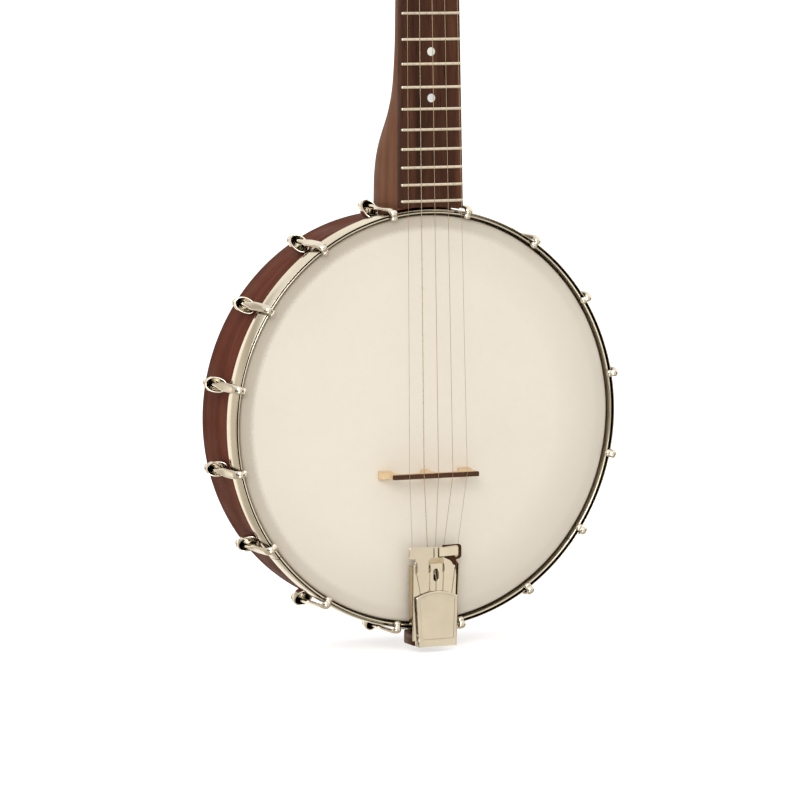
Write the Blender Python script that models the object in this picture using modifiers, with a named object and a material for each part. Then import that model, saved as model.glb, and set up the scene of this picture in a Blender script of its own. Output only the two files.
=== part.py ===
"""Five-string open-back banjo: pot, neck, tuners, bridge, tailpiece and strings.

Metres, +Z up. The neck points up (+Z) and the head faces -Y. The origin is on
the flat back edge of the rim, at its lowest point and in the middle of its
wall, so the pot's axis is at z = POT_Z and runs along Y. Local frames: on the
pot, y is 0 at the rim's back edge and -HEAD_H at the head; on the neck, y is 0
at the fingerboard's surface and grows towards the back. Tables are in
millimetres.
"""

import math

import bmesh
import bpy
import numpy as np
from mathutils import Matrix, Vector

MM = 0.001
GAP = 0.3 * MM                # clearance between neighbouring pieces

# ---- driving dimensions ----------------------------------------------------
RIM_R = 139.7 * MM            # 11 inch rim
RIM_R_IN = 128.7 * MM
POT_Z = (RIM_R + RIM_R_IN) / 2
RIM_H = 65.7 * MM
HEAD_H = 66.3 * MM            # playing surface of the head
HEAD_T = 0.3 * MM
SKIRT_R = 140.0 * MM          # inside of the head's collar
FLESH_R = 143.9 * MM          # outside of the flesh hoop
FLESH_H0, FLESH_H1 = 52.4 * MM, 57.2 * MM
HOOP_R = 145.5 * MM
HOOP_R_IN = 141.9 * MM
HOOP_H0 = 51.0 * MM
HOOP_TOP_OUT = 69.8 * MM
HOOP_TOP_IN = 68.4 * MM
HOOP_GROOVE_H = 66.0 * MM     # floor of the groove the hooks drop into
RING_STEPS = 48               # steps round the rim, head and hoop
TURNED_STEPS = 12             # steps round the small turned pieces

SCALE = 666.8 * MM            # 26 1/4 inch scale
BRIDGE_Z = -36.6 * MM         # from the pot's axis
BRIDGE_H = 15.9 * MM          # 5/8 inch
STRING_R = 0.22 * MM

FB_Z0 = 146.4 * MM            # end of the fingerboard, from the pot's axis
FB_Y0 = -72.0 * MM
NECK_TILT = math.radians(1.02)
FB_T = 5.5 * MM
HEADSTOCK_TILT = math.radians(13.0)
HEADSTOCK_T = 14.5 * MM

TP_X = 1.3 * MM               # tailpiece centre
TP_TOP = -77.0 * MM           # front face of the tailpiece plate
ROD_Y = -33.0 * MM            # coordinator rod's height in the pot
STUD_HOLE_R = 3.6 * MM        # holes that the coordinator rod's ends pass through


# ---- scene and materials ---------------------------------------------------
for old in list(bpy.data.objects):
    bpy.data.objects.remove(old, do_unlink=True)

PARTS = bpy.data.collections.new("banjo")
CUTTERS = bpy.data.collections.new("cutters")
bpy.context.scene.collection.children.link(PARTS)
bpy.context.scene.collection.children.link(CUTTERS)
CUTTERS.hide_render = True

DISPLAY_GAMMA = 2.2


def finish(name, rgb, roughness, metallic=0.0):
    """A material from a display colour in 0..255."""
    colour = (*((c / 255.0) ** DISPLAY_GAMMA for c in rgb), 1.0)
    mat = bpy.data.materials.new(name)
    mat.use_nodes = True
    shader = mat.node_tree.nodes["Principled BSDF"]
    shader.inputs["Base Color"].default_value = colour
    shader.inputs["Roughness"].default_value = roughness
    shader.inputs["Metallic"].default_value = metallic
    mat.diffuse_color = colour
    return mat


# ---- placing objects -------------------------------------------------------
def place(obj, parent, mat=None, location=(0, 0, 0), rotation=(0, 0, 0)):
    PARTS.objects.link(obj)
    obj.parent = parent
    obj.location = location
    obj.rotation_euler = rotation
    if mat:
        obj.data.materials.append(mat)
    return obj


def add(name, data, parent, mat=None, location=(0, 0, 0), rotation=(0, 0, 0)):
    """A new object made from a mesh or a curve, and placed."""
    return place(bpy.data.objects.new(name, data), parent, mat, location, rotation)


def empty(name, parent, location, rotation=(0, 0, 0)):
    obj = add(name, None, parent, None, location, rotation)
    obj.empty_display_size = 0.02
    return obj


# ---- shape helpers ---------------------------------------------------------
def metres(table):
    """Rows of millimetres as tuples of metres."""
    return [tuple(value * MM for value in row) for row in table]


def mirrored(points):
    """The points' mirror image in x, in reverse order, to close an outline."""
    return [(-x, y) for x, y in reversed(points)]


def smooth(mesh):
    mesh.shade_smooth()
    mesh.set_sharp_from_angle(angle=math.radians(35))


def baked(obj):
    """The object's evaluated mesh, with a curve's loose caps welded."""
    PARTS.objects.link(obj)
    bpy.context.view_layer.update()
    graph = bpy.context.evaluated_depsgraph_get()
    mesh = bpy.data.meshes.new_from_object(obj.evaluated_get(graph))
    bm = bmesh.new()
    bm.from_mesh(mesh)
    bmesh.ops.remove_doubles(bm, verts=bm.verts, dist=1e-6)
    bmesh.ops.recalc_face_normals(bm, faces=bm.faces)
    bm.to_mesh(mesh)
    bm.free()
    bpy.data.objects.remove(obj, do_unlink=True)
    return mesh


def turned(name, profile, steps=TURNED_STEPS):
    """A profile of (radius, height) turned about local Z with a Screw modifier.

    A profile that starts off the axis is closed into a ring.
    """
    mesh = bpy.data.meshes.new(name)
    points = [(radius, 0.0, height) for radius, height in profile]
    edges = [(i, i + 1) for i in range(len(points) - 1)]
    if profile[0][0] > 1e-6:
        edges.append((len(points) - 1, 0))
    mesh.from_pydata(points, edges, [])
    obj = bpy.data.objects.new(name, mesh)
    screw = obj.modifiers.new("turn", "SCREW")
    screw.angle = math.tau
    screw.steps = screw.render_steps = steps
    screw.use_merge_vertices = True
    screw.merge_threshold = 1e-5
    screw.use_smooth_shade = True
    return obj


def outline_mesh(name, points, thickness):
    """A flat outline in local XY, filled and extruded along Z, centred on z=0."""
    curve = bpy.data.curves.new(name, "CURVE")
    curve.dimensions = "2D"
    curve.fill_mode = "BOTH"
    curve.extrude = thickness / 2
    spline = curve.splines.new("POLY")
    spline.points.add(len(points) - 1)
    for point, (x, y) in zip(spline.points, points):
        point.co = (x, y, 0, 1)
    spline.use_cyclic_u = True
    return baked(bpy.data.objects.new(name + "_outline", curve))


def panel_mesh(name, points, thickness, middle_y):
    """An outline of (x, z) points, with its thickness along Y about middle_y."""
    mesh = outline_mesh(name, points, thickness)
    mesh.transform(Matrix.Translation((0, middle_y, 0))
                   @ Matrix.Rotation(math.pi / 2, 4, "X"))
    return mesh


def box_mesh(name, low, high):
    mesh = bpy.data.meshes.new(name)
    bm = bmesh.new()
    bmesh.ops.create_cube(bm, size=1.0)
    size = [b - a for a, b in zip(low, high)]
    middle = [(a + b) / 2 for a, b in zip(low, high)]
    bmesh.ops.scale(bm, vec=size, verts=bm.verts)
    bmesh.ops.translate(bm, vec=middle, verts=bm.verts)
    bm.to_mesh(mesh)
    bm.free()
    return mesh


def rod_mesh(name, start, end, radius, sides=12):
    """A straight cylinder between two points."""
    start, end = Vector(start), Vector(end)
    mesh = bpy.data.meshes.new(name)
    bm = bmesh.new()
    bmesh.ops.create_cone(bm, cap_ends=True, segments=sides, radius1=radius,
                          radius2=radius, depth=(end - start).length)
    aim = (end - start).to_track_quat("Z", "Y").to_matrix().to_4x4()
    bmesh.ops.transform(bm, matrix=Matrix.Translation((start + end) / 2) @ aim,
                        verts=bm.verts)
    bm.to_mesh(mesh)
    bm.free()
    return mesh


def loft_mesh(name, sections):
    """Sections of equal point counts joined in order, with flat ends."""
    mesh = bpy.data.meshes.new(name)
    bm = bmesh.new()
    rings = [[bm.verts.new(p) for p in section] for section in sections]
    count = len(rings[0])
    for a, b in zip(rings, rings[1:]):
        for i in range(count):
            j = (i + 1) % count
            bm.faces.new((a[i], a[j], b[j], b[i]))
    bm.faces.new(list(reversed(rings[0])))
    bm.faces.new(rings[-1])
    bmesh.ops.recalc_face_normals(bm, faces=bm.faces)
    bm.to_mesh(mesh)
    bm.free()
    return mesh


def wire_curve(name, points, radii, sides):
    """A POLY curve with its own radius at each point, and filled caps."""
    curve = bpy.data.curves.new(name, "CURVE")
    curve.dimensions = "3D"
    curve.fill_mode = "FULL"
    curve.bevel_depth = MM
    curve.bevel_resolution = sides // 2 - 2
    curve.use_fill_caps = True
    curve.twist_mode = "MINIMUM"
    spline = curve.splines.new("POLY")
    spline.points.add(len(points) - 1)
    for point, position, radius in zip(spline.points, points, radii):
        point.co = (*position, 1)
        point.radius = radius / MM
    return curve


def combine(obj, mesh, operation):
    """Applies a mesh to the object through a hidden helper, and returns the helper."""
    helper = bpy.data.objects.new(f"{obj.name}_{operation.lower()}", mesh)
    CUTTERS.objects.link(helper)
    helper.hide_render = True
    helper.display_type = "WIRE"
    helper.parent = obj
    step = obj.modifiers.new(operation.lower(), "BOOLEAN")
    step.operation = operation
    step.solver = "EXACT"
    step.object = helper
    return helper


def join(obj, mesh):
    return combine(obj, mesh, "UNION")


def cut(obj, mesh):
    return combine(obj, mesh, "DIFFERENCE")


# ---- frames ----------------------------------------------------------------
def neck_s(z_from_pot):
    """Distance along the neck of a point this high above the pot's axis."""
    return (z_from_pot - FB_Z0) / math.cos(NECK_TILT)


def fret_s(n):
    """Distance along the neck of the nth fret; the 0th is the nut."""
    return neck_s(BRIDGE_Z + SCALE * 2 ** (-n / 12))


NUT_S = fret_s(0)
FIFTH_S = fret_s(5)
HEAD_S = NUT_S + 5.0 * MM     # where the headstock starts

pot = empty("pot_axis", None, (0, 0, POT_Z))
turning_frame = empty("pot_turning_frame", pot, (0, 0, 0), (math.pi / 2, 0, 0))
neck_frame = empty("neck_frame", pot, (0, FB_Y0, FB_Z0), (-NECK_TILT, 0, 0))
headstock_frame = empty("headstock_frame", neck_frame, (0, FB_T + GAP, HEAD_S),
                        (-HEADSTOCK_TILT, 0, 0))

NECK_TO_POT = (Matrix.Translation((0, FB_Y0, FB_Z0))
               @ Matrix.Rotation(-NECK_TILT, 4, "X"))
POT_TO_NECK = (Matrix.Rotation(NECK_TILT, 4, "X")
               @ Matrix.Translation((0, -FB_Y0, -FB_Z0)))
STOCK_TO_NECK = (Matrix.Translation((0, FB_T + GAP, HEAD_S))
                 @ Matrix.Rotation(-HEADSTOCK_TILT, 4, "X"))
STOCK_TO_POT = NECK_TO_POT @ STOCK_TO_NECK


# ---- pot: rim, head, hoop --------------------------------------------------
# In the turning frame local Z points to the front and local Y to the neck.
def build_rim():
    profile = [(RIM_R, 63.0 * MM), (RIM_R, 0.0), (RIM_R_IN, 0.0),
               (RIM_R_IN, 61.5 * MM), (130.0 * MM, 63.6 * MM),
               (133.5 * MM, 65.2 * MM), (136.5 * MM, RIM_H), (138.6 * MM, 65.2 * MM)]
    rim = place(turned("rim", profile, RING_STEPS), turning_frame,
                finish("rim_wood", (94, 42, 26), roughness=0.35))
    # the coordinator rod's studs pass through the wall at the tail and the neck
    for name, side in (("tail_hole", -1), ("neck_hole", 1)):
        cut(rim, rod_mesh(name, (0, side * 120 * MM, -ROD_Y),
                          (0, side * 150 * MM, -ROD_Y), STUD_HOLE_R))


def build_head():
    """A flat film with a collar that ends in the flesh hoop."""
    collar_r = SKIRT_R + HEAD_T
    profile = [(0.0, HEAD_H), (60.0 * MM, HEAD_H), (110.0 * MM, HEAD_H),
               (138.4 * MM, HEAD_H), (139.8 * MM, HEAD_H - 0.5 * MM),
               (collar_r, HEAD_H - 2.0 * MM), (collar_r, FLESH_H1),
               (FLESH_R, FLESH_H1), (FLESH_R, FLESH_H0), (SKIRT_R, FLESH_H0),
               (SKIRT_R, HEAD_H - 2.1 * MM),
               (139.4 * MM, HEAD_H - HEAD_T - 0.4 * MM),
               (138.2 * MM, HEAD_H - HEAD_T), (0.0, HEAD_H - HEAD_T)]
    place(turned("head", profile, RING_STEPS), turning_frame,
          finish("head_film", (235, 227, 213), roughness=0.55))


def build_tension_hoop():
    """The skirt hides the flesh hoop; hooks drop into the groove in the front."""
    skirt_r_in = HOOP_R - 1.3 * MM
    ledge_r_in = HOOP_R_IN - 0.5 * MM
    groove_r_out = HOOP_R - 1.2 * MM
    groove_r_in = HOOP_R_IN + 1.2 * MM
    profile = [(HOOP_R - 0.4 * MM, HOOP_TOP_OUT), (HOOP_R, HOOP_TOP_OUT - 1.0 * MM),
               (HOOP_R, 60.0 * MM), (HOOP_R - 0.3 * MM, 54.5 * MM),
               (HOOP_R - 0.8 * MM, HOOP_H0), (skirt_r_in, HOOP_H0),
               (skirt_r_in, FLESH_H1 + GAP), (ledge_r_in, FLESH_H1 + GAP),
               (ledge_r_in, 60.0 * MM), (HOOP_R_IN, 62.0 * MM),
               (HOOP_R_IN, HOOP_TOP_IN), (groove_r_in, HOOP_TOP_IN),
               (groove_r_in, HOOP_GROOVE_H), (groove_r_out, HOOP_GROOVE_H),
               (groove_r_out, HOOP_TOP_OUT)]
    place(turned("tension_hoop", profile, RING_STEPS), turning_frame,
          finish("hoop_metal", (205, 198, 180), roughness=0.22, metallic=1.0))


# ---- sixteen bracket shoes and sixteen hooks -------------------------------
# Both are made at the neck, X tangential and Z radial, and turned about Y.
N_BRACKETS = 16
BRACKET_TOP = 11.3            # degrees from the neck to the first bracket
BRACKET_STEP = 22.7
SHOE_H0, SHOE_H1 = 25.5 * MM, 38.0 * MM
SHOE_MIDDLE_R = 147.0 * MM
SHOE_HALF_RADIAL = 7.0 * MM
SHOE_HALF_WIDE = 5.3 * MM
SHOE_WALL = 1.3 * MM
SHOE_RIM_WALL = 1.4 * MM      # the wall that rests on the rim
SHOE_BACK_WALL = 1.6 * MM
SHOE_OVAL_POINTS = 12
HOOK_R = 148.0 * MM           # radius at which the hooks stand
ROD_R = 2.0 * MM
HOOK_BEND = 3.4 * MM
HOOK_BEND_H = 69.0 * MM
HOOK_BEND_ANGLE = 80          # degrees
HOOK_BEND_STEPS = 4

# distance behind the shoe, radius: the nut from its rear end to its flange
HOOK_NUT = [(10.2, 1.2), (9.4, 2.8), (7.6, 3.3), (6.8, 3.3), (6.7, 4.2), (0.1, 4.2)]


def bracket_angles():
    """Clock angles from the neck, in degrees, down the +X side and back up."""
    side = [BRACKET_TOP + BRACKET_STEP * k for k in range(N_BRACKETS // 2)]
    return side + [360.0 - a for a in reversed(side)]


def shoe_oval(inset, floor):
    """An oval in X and Z, flattened at the floor on the rim's side."""
    ring = []
    for i in range(SHOE_OVAL_POINTS):
        t = math.tau * (i + 0.5) / SHOE_OVAL_POINTS
        x = (SHOE_HALF_WIDE - inset) * math.cos(t)
        z = SHOE_MIDDLE_R + (SHOE_HALF_RADIAL - inset) * math.sin(t)
        ring.append((x, max(z, floor)))
    return ring


def shoe_mesh():
    """A hollow oval lug, open at the front, with a hole in its back wall."""
    floor = RIM_R + GAP
    depth = SHOE_H1 - SHOE_H0
    middle_y = -(SHOE_H0 + SHOE_H1) / 2
    outer = panel_mesh("shoe_outer", shoe_oval(0.0, floor), depth, middle_y)
    inner = panel_mesh("shoe_inner", shoe_oval(SHOE_WALL, floor + SHOE_RIM_WALL),
                       depth, middle_y - SHOE_BACK_WALL)
    shell = bpy.data.objects.new("shoe_blank", outer)
    helpers = [cut(shell, inner),
               cut(shell, rod_mesh("shoe_hole", (0, -SHOE_H0 + 4 * MM, HOOK_R),
                                   (0, -SHOE_H1, HOOK_R), 2.6 * MM, 8))]
    mesh = baked(shell)
    for helper in helpers:
        bpy.data.objects.remove(helper, do_unlink=True)
    mesh.name = "bracket_shoe"
    smooth(mesh)
    return mesh


def hook_path():
    """The nut behind the shoe, the rod, and the bend over the hoop."""
    back = SHOE_H0 - GAP
    points = [(0, -(back - behind), HOOK_R) for behind, _ in metres(HOOK_NUT)]
    radii = [radius for _, radius in metres(HOOK_NUT)]
    points.append((0, -back, HOOK_R))
    radii.append(ROD_R)
    for i in range(HOOK_BEND_STEPS + 1):
        t = math.radians(HOOK_BEND_ANGLE * i / HOOK_BEND_STEPS)
        points.append((0, -(HOOK_BEND_H + HOOK_BEND * math.sin(t)),
                       HOOK_R - HOOK_BEND + HOOK_BEND * math.cos(t)))
        radii.append(ROD_R)
    return points, radii


def build_brackets():
    shoe = shoe_mesh()
    shoe.materials.append(
        finish("shoe_metal", (200, 190, 168), roughness=0.2, metallic=1.0))
    hook_metal = finish("hook_metal", (196, 184, 160), roughness=0.25, metallic=1.0)
    for i, angle in enumerate(bracket_angles(), 1):
        spin = (0, math.radians(angle), 0)
        add(f"bracket_shoe_{i:02d}", shoe, pot, rotation=spin)
        name = f"hook_and_nut_{i:02d}"
        add(name, wire_curve(name, *hook_path(), sides=8), pot, hook_metal, rotation=spin)


# ---- neck ------------------------------------------------------------------
FB_HW = 23.3 * MM             # half width at the pot
NUT_HW = 16.2 * MM            # half width at the nut
FIFTH_HW_WIDE = 20.9 * MM     # left half width at the fifth fret
FIFTH_HW_NARROW = 17.6 * MM   # the narrow left side's line, carried to that fret
SHOULDER = (15.0, 19.5, 24.5, 29.0)   # stations past the fifth fret, in mm
STOCK_STEP = 0.4 * MM         # neck's front face below the headstock's
STOCK_DEPTH = 22.0 * MM       # depth at the headstock's start
STOCK_DEPTH_SLOPE = 0.21
NECK_ARC_STEPS = 14

# distance along the neck, depth behind the fingerboard's surface
DEPTH = [(-16, 64), (0, 64), (12, 63.6), (24, 62.2), (34, 59.6), (44, 54.8), (53, 48.6),
         (61, 42.4), (69, 37.2), (78, 33), (88, 30), (100, 27.6), (116, 25.6),
         (140, 24.4), (230, 23.2), (330, 22.2), (440, 20.8), (478, 20.6), (489, 22.0)]
# distance along the neck, exponent of the section's superellipse (2 is round)
SQUARE = [(-16, 4.2), (20, 4.0), (40, 3.4), (60, 2.6), (80, 2.25), (110, 2.1), (489, 2.1)]
# distance along the headstock, half width
HEADSTOCK_HALF = [
    (0, 16.6), (7, 17.2), (14, 19.4), (21, 23.2), (28, 27.0), (36, 29.6),
    (46, 30.8), (66, 30.2), (86, 29.6), (104, 30.4), (118, 32.2), (128, 33.0),
    (136, 31.4), (142.5, 27.0), (147, 20.5), (149.5, 13.5), (149, 7.5), (146.5, 3.0)]
HEADSTOCK_NOTCH_U = 146.0 * MM        # bottom of the dip in the middle of its top

# string: side, distance along the headstock
POSTS = {4: (-1, 44.0 * MM), 1: (1, 44.0 * MM), 3: (-1, 98.0 * MM), 2: (1, 98.0 * MM)}
POST_X = 19.5 * MM
FIFTH_PEG_S = FIFTH_S + 10.5 * MM
FIFTH_PEG_Y = 9.7 * MM


def blend(table, position):
    """Linear interpolation in a table of (position, value)."""
    return float(np.interp(position, *zip(*table)))


def half_right(s):
    return FB_HW + (NUT_HW - FB_HW) * s / NUT_S


def half_left(s):
    """The fifth string's side: wide past the fifth fret, then a shoulder."""
    past = s - FIFTH_S
    wide = FB_HW + (FIFTH_HW_WIDE - FB_HW) * s / FIFTH_S
    narrow = FIFTH_HW_NARROW + (NUT_HW - FIFTH_HW_NARROW) * past / (NUT_S - FIFTH_S)
    start, end = SHOULDER[0] * MM, SHOULDER[-1] * MM
    t = min(max((past - start) / (end - start), 0.0), 1.0)
    t = t * t * (3 - 2 * t)
    return wide * (1 - t) + narrow * t


def neck_section(s):
    """One cross-section of the neck: flat under the fingerboard, round behind."""
    top = FB_T + GAP
    depth = blend(DEPTH, s / MM) * MM - top
    power = blend(SQUARE, s / MM)
    if s > HEAD_S:
        top += (s - HEAD_S) * math.tan(HEADSTOCK_TILT) + STOCK_STEP
        depth = STOCK_DEPTH + STOCK_DEPTH_SLOPE * (s - HEAD_S) - top
    width_s = min(s, NUT_S)
    ring = []
    for i in range(NECK_ARC_STEPS + 1):
        t = math.pi * i / NECK_ARC_STEPS
        across, behind = math.cos(t), math.sin(t)
        x = math.copysign(abs(across) ** (2 / power), across)
        half = half_right(width_s) if x > 0 else half_left(width_s)
        ring.append((x * half, top + depth * behind ** (2 / power), s))
    return ring


def neck_stations():
    fifth, nut, stock = FIFTH_S / MM, NUT_S / MM, HEAD_S / MM
    stations = [-16, 0, 12, 24, 34, 44, 53, 61, 69, 78, 88, 100, 116, 140, 185, 230, 280,
                fifth, *(fifth + past for past in SHOULDER), 400, 440,
                nut, stock, stock + 9, stock + 18]
    return [station * MM for station in stations]


def headstock_mesh():
    """The headstock's panel in its own frame, its front face at y = 0."""
    right = [(x * MM, u * MM) for u, x in HEADSTOCK_HALF]
    return panel_mesh("headstock", right + [(0.0, HEADSTOCK_NOTCH_U)] + mirrored(right),
                      HEADSTOCK_T, HEADSTOCK_T / 2)


def build_neck():
    neck = add("neck", loft_mesh("neck", [neck_section(s) for s in neck_stations()]),
               neck_frame, finish("neck_wood", (125, 84, 60), roughness=0.4))
    stock = headstock_mesh()
    stock.transform(STOCK_TO_NECK)
    join(neck, stock)
    for side, u in POSTS.values():
        hole = rod_mesh("post_hole", (side * POST_X, -5 * MM, u),
                        (side * POST_X, HEADSTOCK_T + 5 * MM, u), 4.3 * MM)
        hole.transform(STOCK_TO_NECK)
        cut(neck, hole)
    # the heel is hollowed to the rim, stepped clear of the hoop and bored for the stud
    front = -100 * MM
    for tool in (
            rod_mesh("heel_seat", (0, 20 * MM, 0), (0, front, 0), RIM_R + GAP, 128),
            rod_mesh("heel_step", (0, -(HOOP_H0 - 0.8 * MM), 0), (0, front, 0),
                     HOOP_R + 0.5 * MM, 128),
            rod_mesh("stud_hole", (0, ROD_Y, 130 * MM), (0, ROD_Y, 168 * MM),
                     STUD_HOLE_R)):
        tool.transform(POT_TO_NECK)
        cut(neck, tool)
    cut(neck, rod_mesh("fifth_peg_hole", (-30 * MM, FIFTH_PEG_Y, FIFTH_PEG_S),
                       (-9 * MM, FIFTH_PEG_Y, FIFTH_PEG_S), 3.0 * MM))


# ---- fingerboard and nut ---------------------------------------------------
FRETS = 22
FRET_H = 1.0 * MM
FRET_HALF_BASE = 1.2 * MM
FRET_HALF_TOP = 0.6 * MM
NUT_TOP = -1.3 * MM
NUT_T = 4.6 * MM


def fingerboard_mesh():
    """A tapered board whose top rises into a bar at each fret."""
    stations = [(0.0, 0.0)]
    for n in range(FRETS, 0, -1):
        s = fret_s(n)
        stations += [(s - FRET_HALF_BASE, 0.0), (s - FRET_HALF_TOP, -FRET_H),
                     (s + FRET_HALF_TOP, -FRET_H), (s + FRET_HALF_BASE, 0.0)]
    stations += [(FIFTH_S + past * MM, 0.0) for past in SHOULDER]
    stations.append((NUT_S - GAP, 0.0))
    sections = []
    for s, top in sorted(stations):
        left, right = -half_left(s), half_right(s)
        sections.append([(left, top, s), (right, top, s),
                         (right, FB_T, s), (left, FB_T, s)])
    return loft_mesh("fingerboard", sections)


def build_fingerboard():
    add("fingerboard", fingerboard_mesh(), neck_frame,
        finish("fingerboard_wood", (62, 38, 26), roughness=0.45))


def build_nut():
    mesh = box_mesh("string_nut", (-NUT_HW, NUT_TOP, NUT_S), (NUT_HW, FB_T, NUT_S + NUT_T))
    add("string_nut", mesh, neck_frame, finish("nut_bone", (232, 222, 196), roughness=0.4))


# ---- bridge ----------------------------------------------------------------
BRIDGE_HALF_T = 3.1 * MM      # half thickness at the feet
BRIDGE_THINNING = 1.6 * MM    # taken off that half thickness at the top
ARCH_X = 15.6 * MM
ARCH_HALF = 10.4 * MM
ARCH_RISE = 8.2 * MM
ARCH_POWER = 0.7              # below 1 fills out the arch's shoulders
ARCH_STEPS = 7
# x, height: the right-hand side from the foot to the top
BRIDGE_SIDE = [(37.2, 0.0), (37.2, 2.6), (35.6, 4.6), (33.6, 7.4), (32.6, 10.6),
               (32.6, BRIDGE_H / MM)]


def bridge_arch(centre):
    points = []
    for i in range(ARCH_STEPS + 1):
        t = math.pi * i / ARCH_STEPS
        points.append((centre - ARCH_HALF * math.cos(t),
                       ARCH_RISE * math.sin(t) ** ARCH_POWER))
    return points


def build_bridge():
    """Three feet, two arches and waisted sides, thinner towards the top."""
    right = metres(BRIDGE_SIDE)
    outline = right + mirrored(right) + bridge_arch(-ARCH_X) + bridge_arch(ARCH_X)
    # extruded to a unit thickness, which each vertex then scales
    mesh = outline_mesh("bridge", outline, 1.0)
    for vertex in mesh.vertices:
        share = vertex.co.y / BRIDGE_H
        vertex.co.z *= 2 * (BRIDGE_HALF_T - BRIDGE_THINNING * share)
    # height towards -Y
    mesh.transform(Matrix.Diagonal((1, -1, -1, 1)))
    add("bridge", mesh, pot, finish("bridge_maple", (214, 176, 128), roughness=0.5),
        (0, -(HEAD_H + GAP), BRIDGE_Z))


# ---- tailpiece -------------------------------------------------------------
PLATE_T = 1.2 * MM
COVER_HINGE_Y = -76.6 * MM
COVER_HINGE_Z = -154.6 * MM
SLOT_HALF = 0.9 * MM
SLOT_Z0 = -105.6 * MM
OBLONG_HALF = 1.7 * MM
OBLONG_Z0, OBLONG_Z1 = -111.0 * MM, -102.6 * MM
OBLONG_CORNER_R = 1.6 * MM

# x, z of the front plate, x from TP_X: a cross bar on a notched body
PLATE = [(17.4, -152.0), (17.4, -105.0), (16.6, -101.5), (14.2, -98.4), (19.0, -97.5),
         (20.4, -96.0), (20.4, -88.6), (19.0, -87.0), (-18.9, -87.1), (-20.4, -88.5),
         (-20.4, -96.2), (-19.0, -97.7), (-14.7, -98.0), (-14.8, -103.2),
         (-17.5, -104.4), (-17.5, -151.9)]
# x0, x1, y0, y1, z0, z1 of boxes joined to the plate, x from TP_X
TAIL_SIDE_BOXES = [(16.9, 18.4, -78.4, -71.4, -150.1, -103.7),   # side wall
                   (12.0, 13.9, -78.2, -74.4, -156.2, -147.0)]   # hinge lug
TAIL_BOXES = [(-14.3, 14.3, -76.4, -59.6, -151.6, -147.8),       # lower end wall
              (-13.2, 13.2, -70.8, -58.2, -156.8, -148.1),       # block below it
              (-6.0, 6.0, -60.4, -43.4, -151.3, -148.5),         # tongue to the back
              (-5.8, 5.8, -46.4, -43.7, -150.7, -140.6),         # step up from it
              (-6.2, 6.2, -46.9, -24.0, -142.8, -140.2)]         # tongue with rod's hole
# string: x at its end under the cover, at its slot, and under the cross bar
STRING_TAIL_X = {5: (-8.6, -13.0, -15.3), 4: (-3.0, -2.9, -3.8), 3: (2.0, 2.0, 2.3),
                 2: (6.9, 7.7, 8.9), 1: (13.2, 16.2, 19.6)}
SLOT_Z1 = {5: -97.2, 4: -98.7, 2: -98.7, 1: -97.2}    # string: slot's upper end


def rounded_rect(x0, x1, y0, y1, radius, steps=3):
    points = []
    for cx, cy, start in ((x1 - radius, y1 - radius, 0), (x0 + radius, y1 - radius, 90),
                          (x0 + radius, y0 + radius, 180), (x1 - radius, y0 + radius, 270)):
        for i in range(steps + 1):
            t = math.radians(start + 90 * i / steps)
            points.append((cx + radius * math.cos(t), cy + radius * math.sin(t)))
    return points


def tail_box(x0, x1, y0, y1, z0, z1):
    """A box from millimetres, x measured from the tailpiece's centre."""
    return box_mesh("tail_box", (x0 * MM + TP_X, y0 * MM, z0 * MM),
                    (x1 * MM + TP_X, y1 * MM, z1 * MM))


def build_tailpiece():
    outline = [(x + TP_X, z) for x, z in metres(PLATE)]
    base = add("tailpiece_base",
               panel_mesh("tailpiece_plate", outline, PLATE_T, TP_TOP + PLATE_T / 2), pot,
               finish("tailpiece_metal", (216, 203, 178), roughness=0.25, metallic=1.0))
    for side in (-1, 1):
        for x0, x1, *rest in TAIL_SIDE_BOXES:
            join(base, tail_box(*sorted((side * x0, side * x1)), *rest))
    for box in TAIL_BOXES:
        join(base, tail_box(*box))
    # four strings rise through slots, the third through the oblong hole
    for number, z1 in SLOT_Z1.items():
        x = STRING_TAIL_X[number][1] * MM
        cut(base, box_mesh("string_slot", (x - SLOT_HALF, -80 * MM, SLOT_Z0),
                           (x + SLOT_HALF, -72 * MM, z1 * MM)))
    oblong = rounded_rect(TP_X - OBLONG_HALF, TP_X + OBLONG_HALF,
                          OBLONG_Z0, OBLONG_Z1, OBLONG_CORNER_R)
    cut(base, panel_mesh("oblong", oblong, 8 * MM, TP_TOP))
    cut(base, rod_mesh("hanger_hole", (0, ROD_Y, -130 * MM), (0, ROD_Y, -150 * MM),
                       STUD_HOLE_R))
    cut(base, rod_mesh("hinge_hole", (TP_X - 20 * MM, COVER_HINGE_Y, COVER_HINGE_Z),
                       (TP_X + 20 * MM, COVER_HINGE_Y, COVER_HINGE_Z), 1.15 * MM, 8))


# ---- tailpiece cover -------------------------------------------------------
COVER_FOOT_HALF = 13.9 * MM
COVER_FOOT_Z = -2.2 * MM
COVER_TOP_HALF = 15.6 * MM
COVER_TOP_Z = 33.2 * MM       # at the top's corners
COVER_ARCH_RISE = 3.9 * MM
COVER_ARCH_STEPS = 8
KNUCKLE_HALF = 11.6 * MM
PIN_HALF = 13.6 * MM


def cover_outline():
    """Arched top, sides that draw in towards the hinge; X and Z from the hinge."""
    points = [(-COVER_FOOT_HALF, COVER_FOOT_Z), (COVER_FOOT_HALF, COVER_FOOT_Z)]
    for i in range(COVER_ARCH_STEPS + 1):
        t = -1 + 2 * i / COVER_ARCH_STEPS
        points.append((-COVER_TOP_HALF * t, COVER_TOP_Z + COVER_ARCH_RISE * (1 - t * t)))
    return points


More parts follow.
